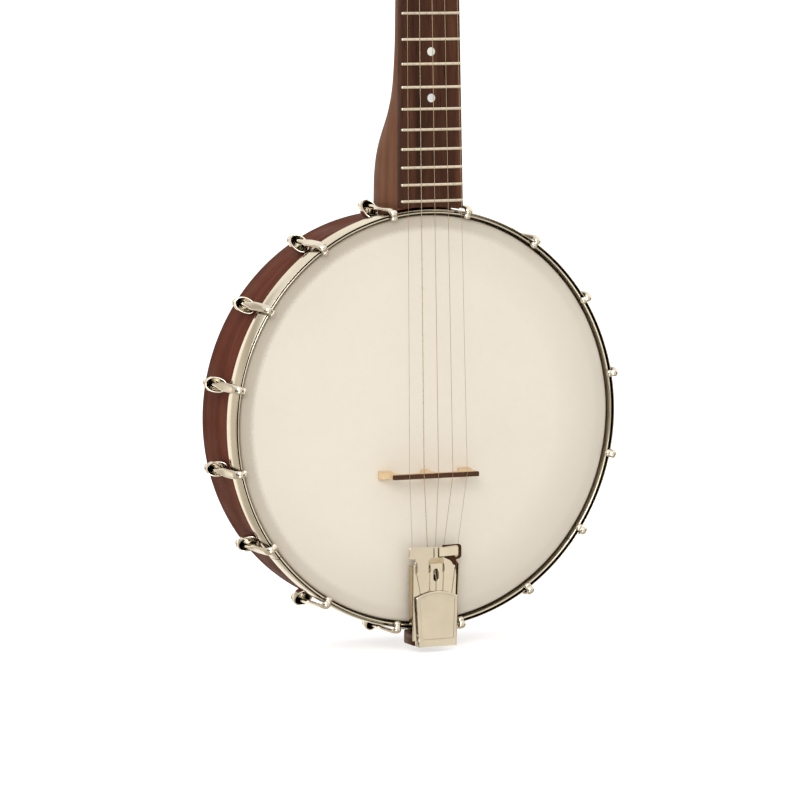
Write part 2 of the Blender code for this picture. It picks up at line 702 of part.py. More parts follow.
def build_cover():
    """The cover turns on pins at its lower end; its origin is on the hinge axis."""
    hinge = empty("cover_hinge", pot, (TP_X, COVER_HINGE_Y, COVER_HINGE_Z))
    cover = add("tailpiece_cover",
                panel_mesh("tailpiece_cover", cover_outline(), 1.0 * MM, -2.9 * MM), hinge,
                finish("cover_metal", (218, 204, 178), roughness=0.25, metallic=1.0))
    join(cover, rod_mesh("cover_knuckle", (-KNUCKLE_HALF, 0, 0), (KNUCKLE_HALF, 0, 0),
                         1.6 * MM, 10))
    join(cover, box_mesh("cover_web", (-KNUCKLE_HALF, -2.7 * MM, -1.2 * MM),
                         (KNUCKLE_HALF, -0.2 * MM, 1.2 * MM)))
    join(cover, rod_mesh("cover_pin", (-PIN_HALF, 0, 0), (PIN_HALF, 0, 0), 0.8 * MM, 8))


# ---- coordinator rod -------------------------------------------------------
# radius, height from the pot's axis: down the outside, from neck to tail
COORDINATOR = [
    (0.0, 160.0), (3.1, 160.0), (3.1, 127.8), (6.5, 127.8), (6.5, 121.6), (4.0, 121.6),
    (4.0, -121.6), (6.5, -121.6), (6.5, -127.8), (3.1, -127.8), (3.1, -143.1),
    (6.2, -143.1), (6.2, -148.6), (3.1, -148.6), (3.1, -150.6), (0.0, -150.6)]


def build_coordinator():
    place(turned("coordinator_rod", metres(COORDINATOR)), pot,
          finish("rod_steel", (150, 146, 138), roughness=0.3, metallic=1.0),
          (0, ROD_Y, 0))


# ---- tuners and fifth-string peg -------------------------------------------
BACK = HEADSTOCK_T + GAP      # the housings sit on the headstock's back
HOUSING_X0, HOUSING_X1 = 11.5 * MM, 29.0 * MM
HOUSING_BELOW, HOUSING_ABOVE = 8.0 * MM, 12.0 * MM    # from the post, along the headstock
HOUSING_DEPTH = 10.5 * MM
WORM_DU = 6.6 * MM            # worm from the post, along the headstock
WORM_Y = BACK + 5.6 * MM
KNOB_FLATTENING = 0.5

# radius, height in front of the headstock: a slim capstan, and a worm wheel behind
POST = [(0.0, 17.2), (2.6, 17.2), (3.1, 16.4), (3.1, 14.6), (2.5, 12.4), (2.5, 8.2),
        (3.1, 6.4), (3.1, -18.4), (4.4, -18.4), (4.4, -22.6), (0.0, -22.6)]
# radius, distance outwards: button, collar and worm shaft
BUTTON = [(0.0, 55.0), (4.2, 54.2), (7.4, 51.6), (9.0, 47.4), (8.4, 43.2), (5.6, 39.6),
          (3.2, 38.0), (3.2, 35.4), (1.7, 35.2), (1.7, 14.2), (0.0, 14.2)]
BUTTON_FLAT_FROM = 38.5 * MM
# radius, distance outwards from the neck's middle
FIFTH_PEG = [
    (0.0, 58.5), (3.6, 57.8), (6.4, 55.6), (7.8, 52.0), (7.4, 48.2), (5.2, 45.0),
    (3.0, 43.6), (3.0, 42.4), (6.0, 42.2), (6.0, 36.0), (4.6, 34.4), (4.6, 33.4),
    (2.9, 33.2), (2.9, 24.2), (2.4, 24.0), (2.4, 11.0), (0.0, 11.0)]
FIFTH_FLAT_FROM = 44.0 * MM


def knob_mesh(name, profile, flat_from):
    """A turned shape, flattened across Y beyond the given height."""
    mesh = baked(turned(name, metres(profile)))
    for vertex in mesh.vertices:
        if vertex.co.z > flat_from:
            vertex.co.y *= KNOB_FLATTENING
    smooth(mesh)
    return mesh


def build_housing(name, side, u, mat):
    x0, x1 = sorted((side * HOUSING_X0, side * HOUSING_X1))
    mesh = box_mesh(name, (x0, BACK, u - HOUSING_BELOW),
                    (x1, BACK + HOUSING_DEPTH, u + HOUSING_ABOVE))
    housing = add(name, mesh, headstock_frame, mat)
    edge = housing.modifiers.new("edges", "BEVEL")
    edge.width = 1.2 * MM
    edge.segments = 1
    edge.limit_method = "NONE"
    cut(housing, rod_mesh("gear_recess", (side * POST_X, BACK - 5 * MM, u),
                          (side * POST_X, BACK + 8.6 * MM, u), 4.9 * MM))
    cut(housing, rod_mesh("worm_bore", (side * 13.5 * MM, WORM_Y, u + WORM_DU),
                          (side * 35 * MM, WORM_Y, u + WORM_DU), 2.3 * MM, 10))


def build_tuners():
    housing_metal = finish("tuner_metal", (198, 190, 172), roughness=0.25, metallic=1.0)
    post_metal = finish("post_metal", (205, 198, 182), roughness=0.2, metallic=1.0)
    button_plastic = finish("button_plastic", (222, 210, 184), roughness=0.35)
    for number, (side, u) in POSTS.items():
        build_housing(f"tuner_housing_{number}", side, u, housing_metal)
        name = f"tuner_post_{number}"
        axis = empty(f"{name}_axis", headstock_frame, (side * POST_X, 0, u),
                     (math.pi / 2, 0, 0))
        place(turned(name, metres(POST)), axis, post_metal)
        name = f"tuner_button_{number}"
        axis = empty(f"{name}_axis", headstock_frame, (0, WORM_Y, u + WORM_DU),
                     (0, side * math.pi / 2, 0))
        add(name, knob_mesh(name, BUTTON, BUTTON_FLAT_FROM), axis, button_plastic)


def build_fifth_peg():
    axis = empty("fifth_peg_axis", neck_frame, (0, FIFTH_PEG_Y, FIFTH_PEG_S),
                 (0, -math.pi / 2, 0))
    name = "fifth_string_peg"
    add(name, knob_mesh(name, FIFTH_PEG, FIFTH_FLAT_FROM), axis,
        finish("fifth_peg_metal", (205, 196, 176), roughness=0.3, metallic=1.0))


# ---- strings ---------------------------------------------------------------
STRINGS_X = 0.7 * MM          # third string's place on the bridge
STRING_SPACING = 11.0 * MM    # at the bridge
NUT_SPACING = 8.0 * MM
COIL_TURNS = 2.5
COIL_POINTS = 7               # points in each turn


def coil(centre, axis, start, core_r, pitch):
    """Points of a coil round a core, starting from a direction across its axis."""
    radius = core_r + GAP + STRING_R + 0.1 * MM
    centre, axis, start = Vector(centre), Vector(axis), Vector(start)
    start = (start - axis * start.dot(axis)).normalized()
    other = axis.cross(start)
    points = []
    for i in range(int(COIL_TURNS * COIL_POINTS) + 1):
        t = math.tau * i / COIL_POINTS
        points.append(centre + axis * pitch * i / COIL_POINTS
                      + (start * math.cos(t) + other * math.sin(t)) * radius)
    return points


def tail_path(number):
    """From the tailpiece cover to the bridge, in the pot's frame."""
    end_x, rise_x, bar_x = (x * MM for x in STRING_TAIL_X[number])
    bridge_x = STRINGS_X + (3 - number) * STRING_SPACING
    bridge_y = -(HEAD_H + GAP + BRIDGE_H + GAP + STRING_R)
    over = TP_TOP - GAP - STRING_R
    under = TP_TOP + PLATE_T + GAP + STRING_R
    rise_z = -106.8 * MM if number == 3 else -102.0 * MM
    return [Vector((end_x, over, -126.0 * MM)),
            Vector((rise_x, over, rise_z - 2.6 * MM)),
            Vector((rise_x, under, rise_z + 2.6 * MM)),
            Vector((bar_x, under, -86.8 * MM)),
            Vector((bridge_x, bridge_y, BRIDGE_Z))]


def fifth_path():
    """From the fifth fret to the coil on the side peg, in the pot's frame."""
    points = [Vector((-19.2 * MM, -2.5 * MM, FIFTH_S))]
    points += coil((-27.6 * MM, FIFTH_PEG_Y, FIFTH_PEG_S), axis=(-1, 0, 0),
                   start=(0, -1, -0.2), core_r=2.9 * MM, pitch=0.9 * MM)
    return [NECK_TO_POT @ p for p in points]


def post_path(number):
    """Over the nut to the coil on the tuner post, in the pot's frame."""
    x = (2.5 - number) * NUT_SPACING
    y = NUT_TOP - GAP - STRING_R
    nut = [Vector((x, y, NUT_S)), Vector((x * 1.01, y, NUT_S + NUT_T + 0.1 * MM))]
    side, u = POSTS[number]
    wound = coil((side * POST_X, -11.5 * MM, u), axis=(0, 1, 0),
                 start=(-side, 0, -0.35), core_r=3.1 * MM, pitch=1.0 * MM)
    return [NECK_TO_POT @ p for p in nut] + [STOCK_TO_POT @ p for p in wound]


def build_strings():
    steel = finish("string_steel", (176, 168, 152), roughness=0.3, metallic=1.0)
    for number in (1, 2, 3, 4, 5):
        path = tail_path(number) + (fifth_path() if number == 5 else post_path(number))
        name = f"string_{number}"
        add(name, wire_curve(name, path, [STRING_R] * len(path), sides=4), pot, steel)


build_rim()
build_head()
build_tension_hoop()
build_brackets()
build_neck()
build_fingerboard()
build_nut()
build_bridge()
build_tailpiece()
build_cover()
build_coordinator()
build_tuners()
build_fifth_peg()
build_strings()
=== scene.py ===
"""A five-string banjo: pot, neck, bridge, tailpiece, tuners and strings.

It stands upright with the neck along +Z and the head facing -Y, so +X is on the right seen
from the front. The pot's axis runs along Y through x = 0, z = POT_Z, and the rim's back edge
is at y = 0. Lengths are millimetres unless a comment says metres.
"""
import math

import bmesh
import bpy
import numpy as np
from mathutils import Matrix, Vector


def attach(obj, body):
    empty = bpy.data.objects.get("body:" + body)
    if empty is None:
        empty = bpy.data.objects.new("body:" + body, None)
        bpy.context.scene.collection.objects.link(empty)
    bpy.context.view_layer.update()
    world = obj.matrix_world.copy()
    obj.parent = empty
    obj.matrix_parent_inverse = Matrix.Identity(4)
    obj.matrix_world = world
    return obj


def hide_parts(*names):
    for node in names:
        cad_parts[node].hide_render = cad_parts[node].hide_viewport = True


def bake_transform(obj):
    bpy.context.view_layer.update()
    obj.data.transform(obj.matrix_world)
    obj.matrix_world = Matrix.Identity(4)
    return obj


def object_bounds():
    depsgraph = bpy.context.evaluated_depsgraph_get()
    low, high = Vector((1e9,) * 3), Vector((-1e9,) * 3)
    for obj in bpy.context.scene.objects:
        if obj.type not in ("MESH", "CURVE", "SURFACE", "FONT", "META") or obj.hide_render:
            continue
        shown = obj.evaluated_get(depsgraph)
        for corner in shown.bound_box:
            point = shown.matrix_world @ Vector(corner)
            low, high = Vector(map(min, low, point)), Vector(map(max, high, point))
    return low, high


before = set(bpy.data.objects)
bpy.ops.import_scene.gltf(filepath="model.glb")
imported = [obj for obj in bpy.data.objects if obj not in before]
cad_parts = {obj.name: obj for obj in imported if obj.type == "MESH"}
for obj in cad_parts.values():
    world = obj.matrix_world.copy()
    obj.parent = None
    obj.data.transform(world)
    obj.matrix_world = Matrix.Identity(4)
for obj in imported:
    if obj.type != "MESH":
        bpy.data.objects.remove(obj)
cad_box = [list(map(float, corner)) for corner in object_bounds()]

MM = 0.001                       # metres in a millimetre
GAP = 0.3                        # clearance between neighbouring pieces
RING = 240                       # steps round the pot
POT_Z = 134.2                    # height of the pot's axis
HEAD_H = 66.3                    # front of the head, forward of y = 0
RIM_R, RIM_R_IN = 139.7, 128.7
HOOK_R = 148.0                   # radius the hooks stand on
ROD_Y = -33.0                    # coordinator rod
SCALE, FRETS = 666.8, 22         # string length from bridge to nut
BRIDGE_Z, BRIDGE_H = -36.6, 15.9  # bridge below the pot's axis, and its height
BOARD_Z, BOARD_Y, BOARD_T = 146.4, -72.0, 5.5  # lower end (from the axis), face, thickness
BOARD_HALF, NUT_HALF = 23.3, 16.2
NECK_TILT, HEADSTOCK_TILT = math.radians(1.02), math.radians(13.0)
HEADSTOCK_T = 14.5
TAIL_X, TAIL_Y = 1.3, -77.0      # tailpiece: middle, and the level of its front
HINGE_Y, HINGE_Z = -76.6, -154.6


# ---- geometry helpers: a shape is (verts, faces) in millimetres ------------
def link(name, data):
    obj = bpy.data.objects.new(name, data)
    bpy.context.scene.collection.objects.link(obj)
    return obj


def shade(mesh, sharp):
    """Smooth shading, with edges sharper than an angle in degrees left hard."""
    mesh.shade_smooth()
    mesh.set_sharp_from_angle(angle=math.radians(sharp))


def raw(name, shape, sharp=38):
    """A mesh object in the scene that rides on nothing yet."""
    mesh = bpy.data.meshes.new(name)
    mesh.from_pydata([tuple(float(c) * MM for c in v) for v in shape[0]], [], shape[1])
    bm = bmesh.new()
    bm.from_mesh(mesh)
    bmesh.ops.remove_doubles(bm, verts=bm.verts, dist=2e-7)
    bmesh.ops.recalc_face_normals(bm, faces=bm.faces)
    bm.to_mesh(mesh)
    bm.free()
    shade(mesh, sharp)
    return link(name, mesh)


def piece(obj, mat, replaces=None, body="instrument"):
    obj.data.materials.clear()
    obj.data.materials.append(mat)
    if body:
        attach(obj, body)
    if replaces:
        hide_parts(replaces)
    return obj


def make(name, shape, mat, replaces=None, body="instrument", sharp=38):
    return piece(raw(name, shape, sharp), mat, replaces, body)


def join(*shapes):
    verts, faces = [], []
    for more_verts, more_faces in shapes:
        base = len(verts)
        verts += list(more_verts)
        faces += [tuple(i + base for i in face) for face in more_faces]
    return verts, faces


def moved(shape, matrix):
    return [tuple(matrix @ Vector(v)) for v in shape[0]], shape[1]


def from_pot(x, y, z):
    """A point whose z is given from the pot's axis."""
    return (x, y, POT_Z + z)


def lift(points):
    """Outline points (x, z) with z given from the pot's axis."""
    return [(x, z + POT_Z) for x, z in points]


def placed(place, angle=math.pi / 2, axis="X"):
    return Matrix.Translation(place) @ Matrix.Rotation(angle, 4, axis)


def rounded(points, segs=4, closed=True):
    """Polygon corners given as (x, y, radius) become arcs."""
    out, count = [], len(points)
    for i, point in enumerate(points):
        radius = point[2] if len(point) > 2 else 0.0
        if radius <= 0 or (not closed and i in (0, count - 1)):
            out.append((point[0], point[1]))
            continue
        before, corner, after = (np.array(points[j % count][:2], float)
                                 for j in (i - 1, i, i + 1))
        back, ahead = before - corner, after - corner
        back_len, ahead_len = np.linalg.norm(back), np.linalg.norm(ahead)
        back, ahead = back / back_len, ahead / ahead_len
        half = math.acos(max(-1.0, min(1.0, float(back @ ahead)))) / 2
        if half > math.pi / 2 - 1e-3:
            out.append((point[0], point[1]))
            continue
        reach = min(radius / math.tan(half), 0.49 * min(back_len, ahead_len))
        radius = reach * math.tan(half)
        middle = back + ahead
        centre = corner + middle / np.linalg.norm(middle) * (radius / math.sin(half))
        start, end = corner + back * reach - centre, corner + ahead * reach - centre
        first = math.atan2(start[1], start[0])
        turn = (math.atan2(end[1], end[0]) - first + math.pi) % math.tau - math.pi
        for k in range(segs + 1):
            angle = first + turn * k / segs
            out.append((centre[0] + radius * math.cos(angle),
                        centre[1] + radius * math.sin(angle)))
    return out


def spline(points, steps=4, closed=False):
    """A Catmull-Rom curve through the points."""
    pts = [np.array(p, float) for p in points]
    n = len(pts)
    out = []
    for i in range(n if closed else n - 1):
        p1, p2 = pts[i], pts[(i + 1) % n]
        p0 = pts[i - 1] if (closed or i > 0) else 2 * p1 - p2
        p3 = pts[(i + 2) % n] if (closed or i + 2 < n) else 2 * p2 - p1
        for j in range(steps):
            t = j / steps
            out.append(0.5 * (2 * p1 + (p2 - p0) * t + (2 * p0 - 5 * p1 + 4 * p2 - p3) * t * t
                              + (3 * p1 - p0 - 3 * p2 + p3) * t ** 3))
    if not closed:
        out.append(pts[-1])
    return [tuple(p) for p in out]


def smoothstep(low, high, x):
    t = min(max((x - low) / (high - low), 0.0), 1.0)
    return t * t * (3 - 2 * t)


def look_up(table, x):
    return float(np.interp(x, [row[0] for row in table], [row[1] for row in table]))


def skin(rings, close_rings=True, close_path=False):
    """Quads between neighbouring rings, without end caps."""
    size = len(rings[0])
    verts = [tuple(p) for ring in rings for p in ring]
    faces = []
    for k in range(len(rings) if close_path else len(rings) - 1):
        here, there = k * size, (k + 1) % len(rings) * size
        for i in range(size if close_rings else size - 1):
            j = (i + 1) % size
            faces.append((here + i, here + j, there + j, there + i))
    return verts, faces


def loft(rings):
    """Rings skinned and capped at both ends."""
    verts, faces = skin(rings)
    size = len(rings[0])
    faces.append(tuple(reversed(range(size))))
    faces.append(tuple(range(len(verts) - size, len(verts))))
    return verts, faces


def pot_lathe(profile, closed=True):
    """A profile of (radius, height forward of y = 0) turned about the pot's axis."""
    rings = []
    for k in range(RING):
        angle = math.tau * k / RING
        rings.append([(r * math.sin(angle), -h, POT_Z + r * math.cos(angle))
                      for r, h in profile])
    return skin(rings, closed, close_path=True)


def turned(profile, matrix, steps=48, warp=None, closed=False):
    """A profile of (radius, z), from axis to axis unless closed, turned about local Z."""
    rings = []
    for k in range(steps):
        angle = math.tau * k / steps
        ring = [(r * math.cos(angle), r * math.sin(angle), z) for r, z in profile]
        if warp:
            ring = [warp(*p) for p in ring]
        rings.append([tuple(matrix @ Vector(p)) for p in ring])
    return skin(rings, closed, close_path=True)


def turned_pin(corners, segs, matrix, steps):
    """An open profile of (radius, z, corner radius) rounded and turned."""
    return turned(rounded(corners, segs, closed=False), matrix, steps)


def sweep(path, sections, side=None):
    """Sweeps sections of (across, normal), one per point, along a path.
    side fixes the across direction; without it the frame is carried along."""
    pts = [Vector(p) for p in path]
    n = len(pts)
    tangents = [(pts[min(i + 1, n - 1)] - pts[max(i - 1, 0)]).normalized() for i in range(n)]
    across = tangents[0].orthogonal().normalized() if side is None else Vector(side)
    rings = []
    for i, tangent in enumerate(tangents):
        if side is None and i:
            across = tangents[i - 1].rotation_difference(tangent) @ across
            across = (across - tangent * across.dot(tangent)).normalized()
        normal = tangent.cross(across).normalized()
        rings.append([tuple(pts[i] + across * x + normal * y) for x, y in sections[i]])
    return loft(rings)


def circle(radius, sides):
    return [(radius * math.cos(math.tau * i / sides), radius * math.sin(math.tau * i / sides))
            for i in range(sides)]


def wire(path, radius, sides):
    return sweep(path, [circle(radius, sides)] * len(path))


def superellipse(half_x, half_y, power, sides):
    out = []
    for i in range(sides):
        angle = math.tau * (i + 0.5) / sides
        c, s = math.cos(angle), math.sin(angle)
        out.append((half_x * math.copysign(abs(c) ** (2 / power), c),
                    half_y * math.copysign(abs(s) ** (2 / power), s)))
    return out


def box(low, high, bevel=0.0, segs=2):
    bm = bmesh.new()
    bmesh.ops.create_cube(bm, size=1.0)
    bmesh.ops.scale(bm, vec=[b - a for a, b in zip(low, high)], verts=bm.verts)
    bmesh.ops.translate(bm, vec=[(a + b) / 2 for a, b in zip(low, high)], verts=bm.verts)
    if bevel:
        bmesh.ops.bevel(bm, geom=list(bm.edges), offset=bevel, segments=segs, profile=0.5,
                        affect="EDGES")
    verts = [tuple(v.co) for v in bm.verts]
    faces = [tuple(v.index for v in f.verts) for f in bm.faces]
    bm.free()
    return verts, faces


def plate(loops, front, thickness, bevel, res=2):
    """Outlines in X and Z (the first the outside, others holes) as a plate whose
    front face is at y = front, with rounded edges."""
    curve = bpy.data.curves.new("plate", "CURVE")
    curve.dimensions = "2D"
    curve.fill_mode = "BOTH"
    curve.extrude = thickness / 2 - bevel
    curve.bevel_depth = bevel
    curve.bevel_resolution = res
    curve.offset = -bevel
    for loop in loops:
        line = curve.splines.new("POLY")
        line.points.add(len(loop) - 1)
        for point, (x, z) in zip(line.points, loop):
            point.co = (x, z, 0, 1)
        line.use_cyclic_u = True
    obj = link("plate", curve)
    mesh = evaluated(obj)
    verts = [(v.co.x, front + thickness / 2 - v.co.z, v.co.y) for v in mesh.vertices]
    faces = [tuple(p.vertices) for p in mesh.polygons]
    bpy.data.objects.remove(obj, do_unlink=True)
    bpy.data.meshes.remove(mesh)
    return verts, faces


def evaluated(obj):
    """A new mesh of the object with its modifiers applied."""
    bpy.context.view_layer.update()
    graph = bpy.context.evaluated_depsgraph_get()
    return bpy.data.meshes.new_from_object(obj.evaluated_get(graph))


def boolean(obj, shape, operation="DIFFERENCE"):
    """Cuts or joins a shape into a raw object."""
    cutter = raw("cutter", shape)
    mod = obj.modifiers.new("cut", "BOOLEAN")
    mod.operation = operation
    mod.solver = "EXACT"
    mod.object = cutter
    mesh = evaluated(obj)
    obj.modifiers.clear()
    old = obj.data
    obj.data = mesh
    bpy.data.meshes.remove(old)
    bpy.data.objects.remove(cutter, do_unlink=True)
    shade(mesh, 38)


def bore(obj, start, end, radius, sides, frame=Matrix()):
    """Cuts a cylinder out of a raw object; start and end are points in the frame."""
    start, end = Vector(start), Vector(end)
    length = (end - start).length
    turn = (end - start).to_track_quat("Z", "Y").to_matrix().to_4x4()
    hole = turned([(0.0, 0.0), (radius, 0.0), (radius, length), (0.0, length)],
                  Matrix.Translation(start) @ turn, sides)
    boolean(obj, moved(hole, frame))


# ---- materials: lengths here are metres, colours are sRGB bytes ------------
def lin(colour, shade_by=1.0):
    """Linear RGBA from an sRGB colour, darkened by a factor."""
    levels = [c * shade_by / 255.0 for c in colour]
    return tuple(c / 12.92 if c <= 10 / 255.0 else ((c + 0.055) / 1.055) ** 2.4
                 for c in levels) + (1.0,)


class Nodes:
    """Adds nodes to a shader tree and hands back their outputs."""

    def __init__(self, tree):
        self.tree = tree

    def add(self, kind, inputs=None, out=0, **props):
        node = self.tree.nodes.new("ShaderNode" + kind)
        for key, value in props.items():
            setattr(node, key, value)
        for key, value in (inputs or {}).items():
            self.feed(node, key, value)
        return node.outputs[out]

    def feed(self, node, key, value):
        if isinstance(value, bpy.types.NodeSocket):
            self.tree.links.new(value, node.inputs[key])
        else:
            node.inputs[key].default_value = value

    def math(self, operation, first, second=0.0, clamp=False):
        return self.add("Math", {0: first, 1: second, 2: 0.0}, operation=operation,
                        use_clamp=clamp)

    def times(self, first, second):
        return self.math("MULTIPLY", first, second)

    def plus(self, first, second):
        return self.math("ADD", first, second)

    def mix(self, factor, first, second):
        return self.add("Mix", {0: factor, 6: first, 7: second}, out=2, data_type="RGBA")

    def range(self, value, over, to=(0.0, 1.0), **props):
        """Maps the interval over onto the interval to, clamped."""
        return self.add("MapRange", {"Value": value, "From Min": over[0], "From Max": over[1],
                                     "To Min": to[0], "To Max": to[1]}, clamp=True, **props)

    def ramp(self, factor, stops):
        """A colour ramp of (position, colour) stops."""
        socket = self.add("ValToRGB", {0: factor})
        band = socket.node.color_ramp
        while len(band.elements) < len(stops):
            band.elements.new(0.5)
        for element, (position, colour) in zip(band.elements, stops):
            element.position = position
            element.color = colour
        return socket

    def split(self, vector):
        return self.add("SeparateXYZ", {0: vector}).node.outputs


class Look(Nodes):
    """A material built around one Principled BSDF."""

    def __init__(self, name, metallic=0.0, roughness=0.4, specular=0.5):
        self.mat = bpy.data.materials.new(name)
        self.mat.use_nodes = True
        super().__init__(self.mat.node_tree)
        self.bsdf = self.tree.nodes["Principled BSDF"]
        self.set("Metallic", metallic)
        self.set("Roughness", roughness)
        self.set("Specular IOR Level", specular)

    def set(self, key, value):
        self.feed(self.bsdf, key, value)

    def place(self):
        return self.add("TexCoord", out="Object")

    def scaled(self, scale, vector):
        return self.add("Mapping", {"Vector": vector, "Scale": scale})

    def noise(self, vector, scale=1.0, detail=4.0, rough=0.55, distortion=0.0):
        return self.add("TexNoise", {"Vector": vector, "Scale": scale, "Detail": detail,
                                     "Roughness": rough, "Distortion": distortion})

    def bump(self, height, distance):
        self.set("Normal", self.add("Bump", {"Height": height, "Distance": distance,
                                             "Strength": 1.0}))


def pot_coords(look, *wanted):
    """Those wanted of the angle, height and radius about the pot's axis."""
    x, y, z = look.split(look.place())
    z = look.math("SUBTRACT", z, POT_Z * MM)
    makers = {
        "angle": lambda: look.math("ARCTAN2", x, z),
        "height": lambda: look.times(y, -1.0),
        "radius": lambda: look.math("SQRT", look.plus(look.times(x, x), look.times(z, z)))}
    return [makers[name]() for name in wanted]


def nickel(name, colour, rough, tarnish, stain=(150, 122, 88), scratch=0.5, seams=(),
           grime_and_shade=0.85, reach=0.0022):
    """Plated metal: uneven tone, tarnish spots, fine hairlines, and hollows darkened by grime
    and painted shade. rough is a roughness range, seams are angles in degrees round the pot,
    and reach is how far the grime and painted shade spread from a hollow."""
    look = Look(name, metallic=1.0)
    where = look.place()
    random = look.add("ObjectInfo", out="Random")
    offset = look.add("CombineXYZ", {0: random, 1: random, 2: random})
    shifted = look.add("VectorMath", {0: where, 1: offset}, operation="ADD")
    broad = look.noise(shifted, scale=26.0, detail=3.0)
    fine = look.noise(shifted, scale=420.0, rough=0.65)
    hair = look.noise(look.scaled((900.0, 900.0, 70.0), shifted), detail=3.0, rough=0.7)
    spots = look.range(look.noise(shifted, scale=160.0, detail=5.0, rough=0.7),
                       over=(0.56, 0.72))
    base = look.mix(look.range(broad, over=(0.35, 0.7)), lin(colour), lin(colour, 0.93))
    stained = look.times(spots, tarnish)
    base = look.mix(stained, base, lin(stain))
    if seams:
        [angle] = pot_coords(look, "angle")
        for seam in seams:
            away = look.math("ABSOLUTE", look.math("SUBTRACT", angle, math.radians(seam)))
            line = look.range(away, over=(0.0011, 0.0026), to=(1.0, 0.0))
            base = look.mix(line, base, lin((46, 34, 24)))
    # painted shade: ambient occlusion darkens hollows towards dark brown, standing in for the
    # shade there as well as for grime
    hollow = look.add("AmbientOcclusion", {"Distance": reach}, out="AO", samples=6)
    hollow_grime_and_shade = look.range(hollow, over=(0.3, 0.85), to=(grime_and_shade, 0.0))
    look.set("Base Color", look.mix(hollow_grime_and_shade, base, lin((30, 20, 12))))
    uneven = look.plus(look.times(broad, 0.6), look.times(fine, 0.4))
    polish = look.range(uneven, over=(0.32, 0.68), to=rough)
    look.set("Roughness", look.math("ADD", polish, look.times(stained, 0.25), clamp=True))
    look.bump(look.plus(look.times(hair, 0.35), fine), distance=0.00002 * scratch)
    return look.mat


def wood(name, tones, grain, pore_colour, ring_scale=1.0, rough=(0.45, 0.6), pores=0.6,
         coat=0.0, spec=0.08, on_rim=False):
    """Straight-grained wood: long figure, fine fibres, dark pores, thin lacquer.
    tones are dark, middle and light; grain is the axis the fibres follow. on_rim bends
    the grain round the pot and draws dark glue lines on its back edge."""
    look = Look(name, specular=spec)
    if on_rim:
        angle, height, radius = pot_coords(look, "angle", "height", "radius")
        vector = look.add("CombineXYZ", {0: look.times(angle, RIM_R * MM), 1: height,
                                         2: radius})
    else:
        vector = look.place()

    def fibres(along, across, **noise):
        """Noise with its own frequencies along and across the grain."""
        scale = [across] * 3
        scale[grain] = along
        return look.noise(look.scaled(tuple(scale), vector), **noise)

    figure = fibres(7.0 * ring_scale, 130.0 * ring_scale, distortion=0.6)
    bands = fibres(1.6 * ring_scale, 28.0 * ring_scale, detail=2.0, rough=0.5,
                   distortion=0.9)
    fibre = fibres(28.0, 1500.0, detail=3.0, rough=0.6)
    vessels = fibres(55.0, 1900.0, detail=2.0, rough=0.5)
    tone = look.plus(look.times(figure, 0.5),
                     look.plus(look.times(bands, 0.32), look.times(fibre, 0.18)))
    dark, middle, light = map(lin, tones)
    base = look.ramp(tone, [(0.33, dark), (0.5, middle), (0.66, light)])
    pore = look.times(look.range(vessels, over=(0.60, 0.70)), pores)
    base = look.mix(pore, base, lin(pore_colour))
    if on_rim:
        height, radius = pot_coords(look, "height", "radius")
        face = look.range(height, over=(0.0009, 0.0004))
        lines = 0.0
        for glue_radius in (0.1323, 0.1360):
            away = look.math("ABSOLUTE", look.math("SUBTRACT", radius, glue_radius))
            lines = look.plus(lines, look.range(away, over=(0.0001, 0.00032), to=(1.0, 0.0)))
        base = look.mix(look.times(face, look.times(lines, 0.7)), base, lin((38, 18, 12)))
    # outer edges are rubbed lighter
    edge = look.range(look.add("NewGeometry", out="Pointiness"), over=(0.52, 0.62))
    look.set("Base Color", look.mix(look.times(edge, 0.18), base, light))
    look.set("Roughness", look.range(look.noise(vector, scale=60.0), over=(0.35, 0.65),
                                     to=rough))
    look.set("Coat Weight", coat)
    look.set("Coat Roughness", 0.18)
    look.bump(look.math("SUBTRACT", look.times(fibre, 0.4), pore), distance=0.00004)
    return look.mat


def film():
    """Frosted plastic head: fine grit, a ragged grey band over the bearing edge that is partly
    the rim seen through the film and partly a painted shadow of the hoop, and a painted soft
    shade toward its edge.
    """
    look = Look("frosted_film", roughness=0.5, specular=0.35)
    where = look.place()
    [radius] = pot_coords(look, "radius")
    cloud = look.noise(where, scale=9.0, detail=3.0)
    grit = look.noise(where, scale=1500.0, detail=3.0, rough=0.6)
    mottling = look.noise(where, scale=190.0, rough=0.6)
    base = look.mix(look.range(cloud, over=(0.3, 0.7)), lin((234, 226, 213)),
                    lin((230, 222, 207)))
    base = look.mix(look.times(look.range(mottling, over=(0.45, 0.62)), 0.05), base,
                    lin((214, 202, 180)))
    speckle = look.noise(where, scale=620.0, detail=2.0, rough=0.6)
    ragged = look.plus(radius, look.times(look.math("SUBTRACT", speckle, 0.5), 0.0042))
    band = look.times(look.range(ragged, over=(0.1292, 0.1332), to=(0.0, 0.62)),
                      look.range(radius, over=(0.1290, 0.1385), to=(0.9, 1.35)))
    # painted light: the band, a painted hoop shadow strongest toward the upper left, fades
    # toward the lower right, where a painted soft shade grows near the edge
    [angle] = pot_coords(look, "angle")
    toward = look.math("COSINE", look.math("SUBTRACT", angle, math.radians(125)))
    away = look.range(toward, over=(-0.75, 0.45), to=(1.0, 0.16))
    painted_edge_shade = look.times(look.range(radius, over=(0.098, 0.137)),
                      look.range(toward, over=(-0.6, 1.0), to=(0.2, 0.85)))
    base = look.mix(painted_edge_shade, base, lin((208, 200, 187)))
    base = look.mix(look.times(band, away), base, lin((178, 167, 150)))
    look.set("Base Color", base)
    look.set("Roughness", look.range(grit, over=(0.35, 0.65), to=(0.42, 0.6)))
    look.bump(look.plus(grit, look.times(mottling, 0.6)), distance=0.00003)
    return look.mat


